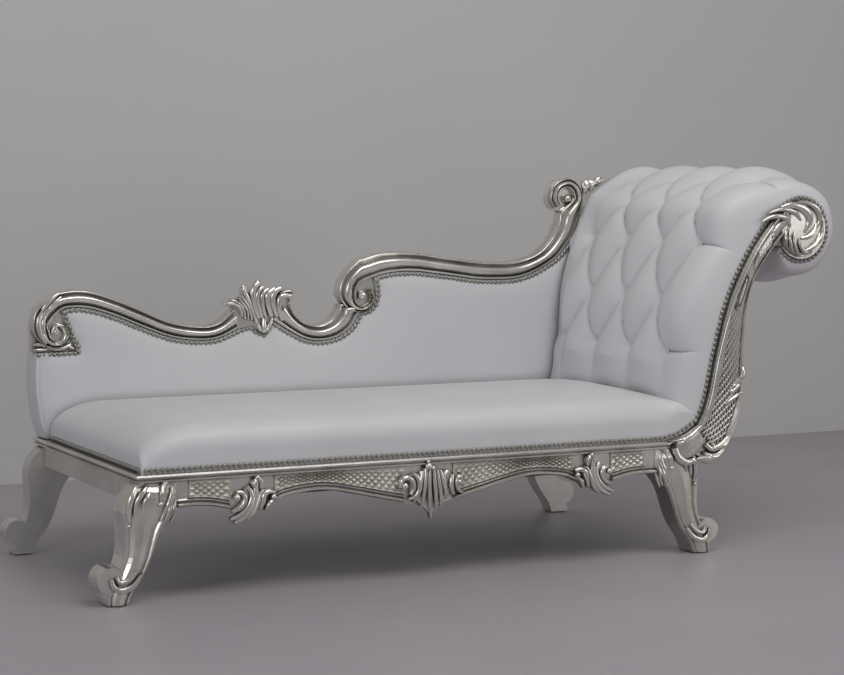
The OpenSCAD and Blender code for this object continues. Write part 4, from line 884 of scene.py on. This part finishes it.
def crest_rails():
    left = Carving()
    rail_band(left, np.vstack([ring_of(LEFT_C, LEFT_SWIRL, 1), LEFT_A]),
              np.vstack([ring_of(LEFT_C, LEFT_SWIRL, 2), LEFT_B]))
    left.prism(np.vstack([outline_between(LEFT_A, LEFT_B), LEFT_FOOT]), PLATE_Y, CREST_BACK)
    ledge(left, LEFT_A, LEFT_B)
    left.prism(points((2, 496), (76, 496), (74, 508), (60, 532), (2, 532)), CREST_BACK - 1, BACK_TOP)
    leaves(left, VOLUTE_SCROLL, 15, PLATE_Y - 3, start=0.7, end=0.6, peak=0.5, back=6)
    leaves(left, VOLUTE_LEAVES, 9, PLATE_Y - 15, start=0.5, end=0.5, peak=0.5, back=14)
    leaves(left, FOOT_LEAVES, 9, PLATE_Y - 1, start=0.6, end=0.6, peak=0.5, back=4)
    balls(left, VOLUTE_BALLS, PLATE_Y - 9)
    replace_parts(left.build("crest_left_scroll", "silver_leaf"), "crest_left_rail")

    middle = Carving()
    rail_band(middle, MIDDLE_A, MIDDLE_B)
    middle.prism(outline_between(MIDDLE_A, MIDDLE_B), PLATE_Y, CREST_BACK)
    ledge(middle, MIDDLE_A, MIDDLE_B)
    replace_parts(middle.build("crest_middle_scroll", "silver_leaf"), "crest_middle_rail")

    right = Carving()
    low = [ring_of(MIDDLE_C, MIDDLE_SWIRL, 1), RIGHT_A, ring_of(RIGHT_C, RIGHT_SWIRL, 2)]
    high = [ring_of(MIDDLE_C, MIDDLE_SWIRL, 2), RIGHT_B, ring_of(RIGHT_C, RIGHT_SWIRL, 1)]
    rail_band(right, np.vstack(low), np.vstack(high))
    right.prism(np.vstack([MIDDLE_VOLUTE, outline_between(RIGHT_A, RIGHT_B, spline(TOP_SCROLL, 4))]),
                PLATE_Y, CREST_BACK)
    ledge(right, RIGHT_A, RIGHT_B)
    for x, z in (MIDDLE_C, RIGHT_C):
        right.head(np.array([x, PLATE_Y, z]), FORWARD, ACROSS, BOSS_RINGS, 24)
    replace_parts(right.build("crest_ogee_rail", "silver_leaf"), "crest_right_rail")


def crest_shell():
    shell = Carving()
    shell.prism(np.vstack([SHELL_ROOT, SHELL_PLATE]), PLATE_Y - 9, CREST_BACK)
    leaves(shell, SHELL_STRANDS, 15, PLATE_Y - 7, start=0.7, end=0.85, peak=0.7, back=18)
    balls(shell, SHELL_TIPS, PLATE_Y - 9)
    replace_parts(shell.build("crest_shell_fan", "silver_leaf"), "crest_shell")


# ---- apron, arm and knees
APRON_Y = -6


def apron_shells():
    centre = Carving()
    leaves(centre, CENTRE_SHELL, 14, APRON_Y, start=0.7, end=0.45, peak=0.45, back=8)
    balls(centre, CENTRE_BALLS, APRON_Y - 8)
    centre.prism(CENTRE_PLATE, APRON_Y - 4, 0)
    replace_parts(centre.build("centre_shell_carving", "silver_leaf"), "apron_shell_centre")
    for name, node, mirror in (("left_shell_carving", "apron_shell_left", None),
                               ("right_shell_carving", "apron_shell_right", FRAME_LEN)):
        side = Carving()
        leaves(side, SIDE_SHELL, 14, APRON_Y, mirror, start=0.6, end=0.55, peak=0.5, back=8)
        side.prism(mirrored(SIDE_PLATE, mirror), APRON_Y - 4, 0)
        balls(side, SIDE_BALLS, APRON_Y - 8, mirror)
        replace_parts(side.build(name, "silver_leaf"), node)


# The arm's field lies between these two edges
ARM_FROM = np.vstack([START_LINE + [0, FIT], [along(BASE_LINE, s) for s in np.arange(0.5, 6.01, 0.25)]])
ARM_TO = spline(points(
    (1407, 284), (1413, 263), (1448, 236), (1506, 230), (1556, 300), (1576, 374), (1574, 499), (1579, 600),
    (1600, 668), (1640, 728), (1676, 768), (1700, 792)), 4)
ARM_STEPS, ARM_Y = 36, -6
ARM_EDGES = [even(edge, ARM_STEPS) for edge in (ARM_FROM, ARM_TO)]
LATTICE_CELLS, LATTICE_LONG = 7, 23
LATTICE_FROM, CELL_STEPS = 5, 1.2
FIELD_FROM, FIELD_WIDE = 0.16, 0.62
BAR_WIDTH, BAR_HEIGHT = 4.6, 4
BEAD_OFF, BEAD_WIDTH, BEAD_HEIGHT, BEAD_STEPS, BEAD_Y = -6.5, 7, 5, 8, -2


def arm_spot(p, q):
    """A point of the arm's field: p in cells along it, q in cells across it."""
    k = LATTICE_FROM + CELL_STEPS * p
    low, high = (np.array([np.interp(k, np.arange(ARM_STEPS + 1), edge[:, i]) for i in (0, 1)])
                 for edge in ARM_EDGES)
    return low + (high - low) * (FIELD_FROM + FIELD_WIDE * q / LATTICE_CELLS)


def arm_lattice(face):
    """Crossing bars over the arm's field."""
    bars = Carving()
    q = np.linspace(0, LATTICE_CELLS, 13)
    for k in range(-LATTICE_CELLS + 1, LATTICE_LONG + LATTICE_CELLS):
        for p in (k + q, k + LATTICE_CELLS - q):
            keep = (p >= 0) & (p <= LATTICE_LONG)
            if keep.sum() < 3:
                continue
            knots = np.array([arm_spot(a, b) for a, b in zip(p[keep], q[keep])])
            y0 = face(strand_line(knots), ARM_Y) + BAR_PROUD
            strand(bars, knots, BAR_WIDTH, BAR_HEIGHT, y0, start=1, end=1, back=2)
    return bars


def arm_bead(carving, face):
    """The bead beside the arm's nails, in short overlapping lengths."""
    bead = beside(ARM_FROM, BEAD_OFF)
    for first in range(0, len(bead) - BEAD_STEPS, BEAD_STEPS):
        knots = bead[first:first + BEAD_STEPS + 2]
        y0 = np.minimum(face(strand_line(knots), ARM_Y), BEAD_Y) + LEAF_PROUD
        strand(carving, knots, BEAD_WIDTH, BEAD_HEIGHT, y0, start=1, end=1)


def headrest_ornament():
    disc = Carving()
    leaves(disc, DISC_STRANDS, 13, -9, start=0.35, end=0.4, peak=0.55, back=6)
    disc.prism(np.array([on_roll(DISC_R, a) for a in range(0, 360, 10)]), -11, -2)
    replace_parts(disc.build("disc_leaves", "silver_leaf"), "headrest_rosette")
    face = front_of(frame["nodes"]["headrest_front_frame"])
    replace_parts(arm_lattice(face).build("arm_lattice_bars", "silver_leaf"), "headrest_lattice")
    arm = Carving()
    laid(arm, ARM_LEAVES, 9, face, ARM_Y, start=0.4, end=0.35, peak=0.5)
    for radius, place in ARM_BALLS:
        ball(arm, place, radius, face([place], ARM_Y)[0])
    leaves(arm, ARM_LOBE, 12, -14, start=0.6, end=0.8, peak=0.5, back=16, hollow=0.25)
    leaves(arm, ARM_EDGE, 11, -19, start=0.6, end=0.7, peak=0.5, back=16)
    leaves(arm, ARM_FOOT, 9, -12, start=0.6, end=0.5, peak=0.5, back=12)
    balls(arm, ARM_TIP, -24)
    arm_bead(arm, face)
    arm.build("arm_leaves", "silver_leaf")


# A depth behind every toe, for points beside it
BEHIND_TOES = 60


def knee_carving():
    nodes = frame["nodes"]
    face = front_of(nodes["front_left_leg"], nodes["front_right_leg"], nodes["front_rail"])
    knees = Carving()
    for mirror in (None, FRAME_LEN):
        laid(knees, KNEE_LEAVES, 10, face, 0, mirror, start=0.6, end=0.45, peak=0.4)
        laid(knees, EAR_LEAVES, 9, face, 0, mirror, start=0.4, end=0.45, peak=0.5)
        for width, *knots in TOE_LEAVES:
            knots = mirrored(knots, mirror)
            y0 = face(strand_line(knots), BEHIND_TOES).min() + 1
            strand(knees, knots, width, 7, y0, start=0.6, end=0.6, peak=0.5, back=16)
        for radius, centre in KNEE_BALLS:
            centre = mirrored(centre, mirror)
            ball(knees, centre, radius, face([centre], 0)[0])
    knees.build("knee_leaves", "silver_leaf")


# ---- back pad
SEAT_LINE = RAIL_TOP + 2 + FIT
BACK_OUTLINE = np.vstack([
    points((-2, SEAT_LINE), (1392, SEAT_LINE), (1434, 322), (1462, 384), (1470, 500), (1472, 745)),
    [q for q in spline(RIGHT_A, 6)[::-1] if q[0] < 1460],
    MIDDLE_VOLUTE[:4],
    spline(MIDDLE_A, 6)[::-1],
    [q for q in SHELL_ROOT[::-1] if 501 < q[0] < 592],
    spline(LEFT_A, 6)[::-1],
    LEFT_FOOT[:4],
    points((-24, 496), (-28, 450), (-27, 400), (-18, 330))])
# Depth and outward offset of the leather that goes round the left end
WRAP_ROUND = (
    (656.4, -30), (655.5, -22), (656.5, -16), (658.3, -10), (661.5, -4.5), (666, -0.6), (674, 1.5),
    (700, 2.2), (728, 1.8), (734, 0.2), (738, -3), (739.5, -9), (739.5, -14), (700, -8), (668, -12),
    (662, -28))
WRAP_LINE = points((-24, 495.7), (-28, 450), (-27, 400), (-18, 330), (-2, SEAT_LINE + 1))
# Rows of the rolled rim: depth, and how far inside the edge
RIM_ROWS = ((PAD_EDGE_Y + 15, 0), (PAD_EDGE_Y + 1, 0), (PAD_EDGE_Y, 1), (PAD_EDGE_Y, 5), (PAD_EDGE_Y, 9))
# The leather inside the rim: step of its net, where it starts, its crown, and its puckers
NET_STEP, NET_INSIDE = 6.0, 3.5
CROWN_H, CROWN_FROM, CROWN_RUN = 7, 7, 16
PUCKER_H, PUCKER_FROM, PUCKER_RUN, PUCKER_PITCH = 0.7, 6, 14, 9.0


def distance_to_outline(xz, outline):
    """Distance of each point to the outline, and how far along it the nearest point lies."""
    a, b = outline, np.roll(outline, -1, axis=0)
    run = np.concatenate([[0], np.cumsum(np.linalg.norm(b - a, axis=1))])
    best = np.full(len(xz), 1e9)
    where = np.zeros(len(xz))
    for i in range(len(a)):
        v = b[i] - a[i]
        t = np.clip(((xz - a[i]) @ v) / max(v @ v, 1e-9), 0, 1)
        d = np.linalg.norm(xz - (a[i] + t[:, None] * v), axis=1)
        near = d < best
        best[near] = d[near]
        where[near] = run[i] + t[near] * (run[i + 1] - run[i])
    return best, where


def inside(xz, outline):
    """Which points lie inside the closed outline."""
    a, b = outline, np.roll(outline, -1, axis=0)
    hit = np.zeros(len(xz), bool)
    for p, q in zip(a, b):
        if p[1] == q[1]:
            continue
        crosses = (p[1] > xz[:, 1]) != (q[1] > xz[:, 1])
        x = p[0] + (xz[:, 1] - p[1]) * (q[0] - p[0]) / (q[1] - p[1])
        hit ^= crosses & (xz[:, 0] < x)
    return hit


def back_pad():
    edge = inset(BACK_OUTLINE, FIT)
    pad = Carving()
    pad.grid(np.array([[(x, y, z) for x, z in inset(edge, d)] for y, d in RIM_ROWS]), loop_cols=True)
    lo, hi = edge.min(0), edge.max(0)
    xs, zs = np.arange(lo[0], hi[0], NET_STEP), np.arange(lo[1], hi[1], NET_STEP)
    X, Z = np.meshgrid(xs, zs, indexing="ij")
    flat = np.stack([X.ravel(), Z.ravel()], axis=1)
    d, where = distance_to_outline(flat, edge)
    keep = inside(flat, edge) & (d > NET_INSIDE)
    crown = CROWN_H * (1 - np.exp(-np.maximum(d - CROWN_FROM, 0) / CROWN_RUN))
    pucker = PUCKER_H * np.sin(where / PUCKER_PITCH) * np.exp(-np.maximum(d - PUCKER_FROM, 0) / PUCKER_RUN)
    y = PAD_EDGE_Y + FIT - crown - pucker * (d > PUCKER_FROM)
    sheet = np.stack([flat[:, 0], y, flat[:, 1]], axis=1)
    m = len(zs)
    ok = keep.reshape(len(xs), m)
    index = -np.ones(len(flat), int)
    index[keep] = np.arange(keep.sum())
    faces = [(index[i * m + j], index[(i + 1) * m + j], index[(i + 1) * m + j + 1], index[i * m + j + 1])
             for i in range(len(xs) - 1) for j in range(m - 1)
             if ok[i, j] and ok[i + 1, j] and ok[i + 1, j + 1] and ok[i, j + 1]]
    pad.add(sheet[keep], faces)
    end = spline(WRAP_LINE, SMOOTH)
    wrap = [(beside(end, -out), y) for y, out in WRAP_ROUND]
    pad.tube([[(line[k][0], y, line[k][1]) for line, y in wrap] for k in range(len(end))])
    piece = pad.build("back_pad", "white_leather", crease=60)
    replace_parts(piece, "back_cover")


# ---- nails
# Height and radius of each ring of a nail's head
NAIL_RINGS = [(NAIL_H * h, NAIL_D / 2 * r)
              for h, r in ((0, 1.0), (0.22, 1.0), (0.5, 0.9), (0.76, 0.68), (0.93, 0.38), (1, 0.06))]
# From the edge that a row follows to the rim of its heads
RAIL_GAP, CREST_GAP, ARM_GAP = 2.5, 1.5, 0.5
FRONT_ROW_END = 1440


def nail_row(heads, out=FORWARD, side=ACROSS):
    """Domed heads: out points away from the leather, side lies across it."""
    row = Carving()
    for centre in heads:
        row.head(np.array(centre), out, side, NAIL_RINGS, 14)
    return row


def nail_run(line, y):
    """Places of nails along a line, at even steps of about NAIL_PITCH."""
    n = math.floor(lengths(line)[-1] / NAIL_PITCH)
    return [(x, y, z) for x, z in even(line, n)]


def nails():
    nail_up = NAIL_D / 2 + RAIL_GAP
    nail_z = RAIL_TOP + nail_up
    foot = beside(START_LINE, nail_up)
    line = np.vstack([[SEAT_X0 + NAIL_D, nail_z], foot[foot[:, 0] < FRONT_ROW_END]])
    front = nail_row(nail_run(line, SEAT_Y0 - FIT))
    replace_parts(front.build("front_nail_heads", "nail_silver"), "nails_front")
    n = math.floor((SEAT_Y1 - SEAT_Y0 - 2 * NAIL_D) / NAIL_PITCH)
    end = nail_row([(SEAT_X0 - FIT, SEAT_Y0 + NAIL_D + k * NAIL_PITCH, nail_z) for k in range(n + 1)],
                   -ACROSS, DEEP)
    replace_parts(end.build("end_nail_heads", "nail_silver"), "nails_left_end")
    # The row leaves out the seat line and the outline's two ends
    line = inset(BACK_OUTLINE, NAIL_D / 2 + CREST_GAP)[6:len(BACK_OUTLINE) - 3]
    crest = nail_row(nail_run(line, PAD_EDGE_Y - FIT))
    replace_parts(crest.build("crest_nail_heads", "nail_silver"), "nails_crest")
    base = np.array([along(BASE_LINE, s) for s in np.arange(0.1, LAST_S - 0.29, 0.1)])
    head = nail_row(nail_run(beside(base, NAIL_D / 2 + ARM_GAP), PAD_Y0 - FIT))
    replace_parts(head.build("headrest_nail_heads", "nail_silver"), "nails_headrest")


crest_rails()
crest_shell()
apron_shells()
headrest_ornament()
knee_carving()
seat_pad()
headrest_pad()
cushion_buttons()
back_pad()
nails()


# ---- room, light and camera
ROOM_X = (-6, 8)
ROOM_Y = (-7, 1.477)
ROOM_H = 5
# Name, place, point aimed at, size, power and colour
LAMPS = (
    ("ceiling_panel", (0.2, -1.7, 3.2), (0, 0, 0.4), (2.4, 1.8), 40, (1, 0.99, 0.97)),
    ("window_left", (-4.2, -2.6, 1.9), (0, 0, 0.5), (1.6, 1.5), 26, (0.95, 0.97, 1)),
    ("fill_right", (3.6, -3.4, 1.6), (0.3, 0, 0.5), (2.0, 1.6), 22, (1, 0.98, 0.95)),
)
# Found from straight and square lines of the frame: degrees, metres from the drawing's zero, and pixels
CAMERA_PITCH, CAMERA_YAW, CAMERA_ROLL = 4.71354, 26.98867, 0.23999
CAMERA_PLACE = (-1.63160, -4.54909, 0.98063)
FOCAL_PIXELS, PHOTO_WIDTH, SENSOR_WIDTH = 2229.19, 844, 36


def room():
    """A floor and a wall; a view from behind sees through the wall."""
    floor_finish = matt("pale_floor", rgb(0.43, 0.395, 0.425), rgb(0.41, 0.375, 0.405), 0.45, 3)
    wall_finish = matt("pale_wall", rgb(0.66, 0.65, 0.635), rgb(0.645, 0.635, 0.62), 0.8, 2, one_sided=True)
    (x0, x1), (y0, y1) = ROOM_X, ROOM_Y
    for name, corners, finish in (
            ("floor", [(x0, y0, 0), (x1, y0, 0), (x1, y1, 0), (x0, y1, 0)], floor_finish),
            ("wall", [(x0, y1, 0), (x1, y1, 0), (x1, y1, ROOM_H), (x0, y1, ROOM_H)], wall_finish)):
        mesh = bpy.data.meshes.new(name)
        mesh.from_pydata(corners, [], [(0, 1, 2, 3)])
        mesh.materials.append(finish)
        piece = placed(name, mesh)


def lamp(name, place, target, size, power, colour):
    light = bpy.data.lights.new(name, "AREA")
    light.shape = "RECTANGLE"
    light.size, light.size_y = size
    light.energy = power
    light.color = colour
    holder = placed(name, light)
    holder.location = place
    holder.rotation_euler = (Vector(target) - Vector(place)).to_track_quat("-Z", "Y").to_euler()


def camera():
    """The photograph's view."""
    pitch, yaw, roll = (math.radians(v) for v in (CAMERA_PITCH, CAMERA_YAW, CAMERA_ROLL))
    eye = Vector(CAMERA_PLACE) + Vector(ORIGIN)
    ahead = Vector((math.sin(yaw) * math.cos(pitch), math.cos(yaw) * math.cos(pitch), -math.sin(pitch)))
    right = Vector((math.cos(yaw), -math.sin(yaw), 0))
    up = right.cross(ahead)
    right, up = right * math.cos(roll) + up * math.sin(roll), up * math.cos(roll) - right * math.sin(roll)
    data = bpy.data.cameras.new("photo_camera")
    data.sensor_width = SENSOR_WIDTH
    data.lens = FOCAL_PIXELS / PHOTO_WIDTH * SENSOR_WIDTH
    holder = placed("photo_camera", data)
    holder.matrix_world = Matrix([(right[i], up[i], -ahead[i], eye[i]) for i in range(3)] + [(0, 0, 0, 1)])
    bpy.context.scene.camera = holder


def daylight():
    world = bpy.data.worlds.new("room_light")
    bpy.context.scene.world = world
    world.use_nodes = True
    sky = world.node_tree.nodes["Background"]
    sky.inputs["Color"].default_value = rgb(0.86, 0.87, 0.9)
    sky.inputs["Strength"].default_value = 0.32
    for values in LAMPS:
        lamp(*values)


room()
daylight()
camera()
bpy.context.scene.view_settings.view_transform = "Standard"
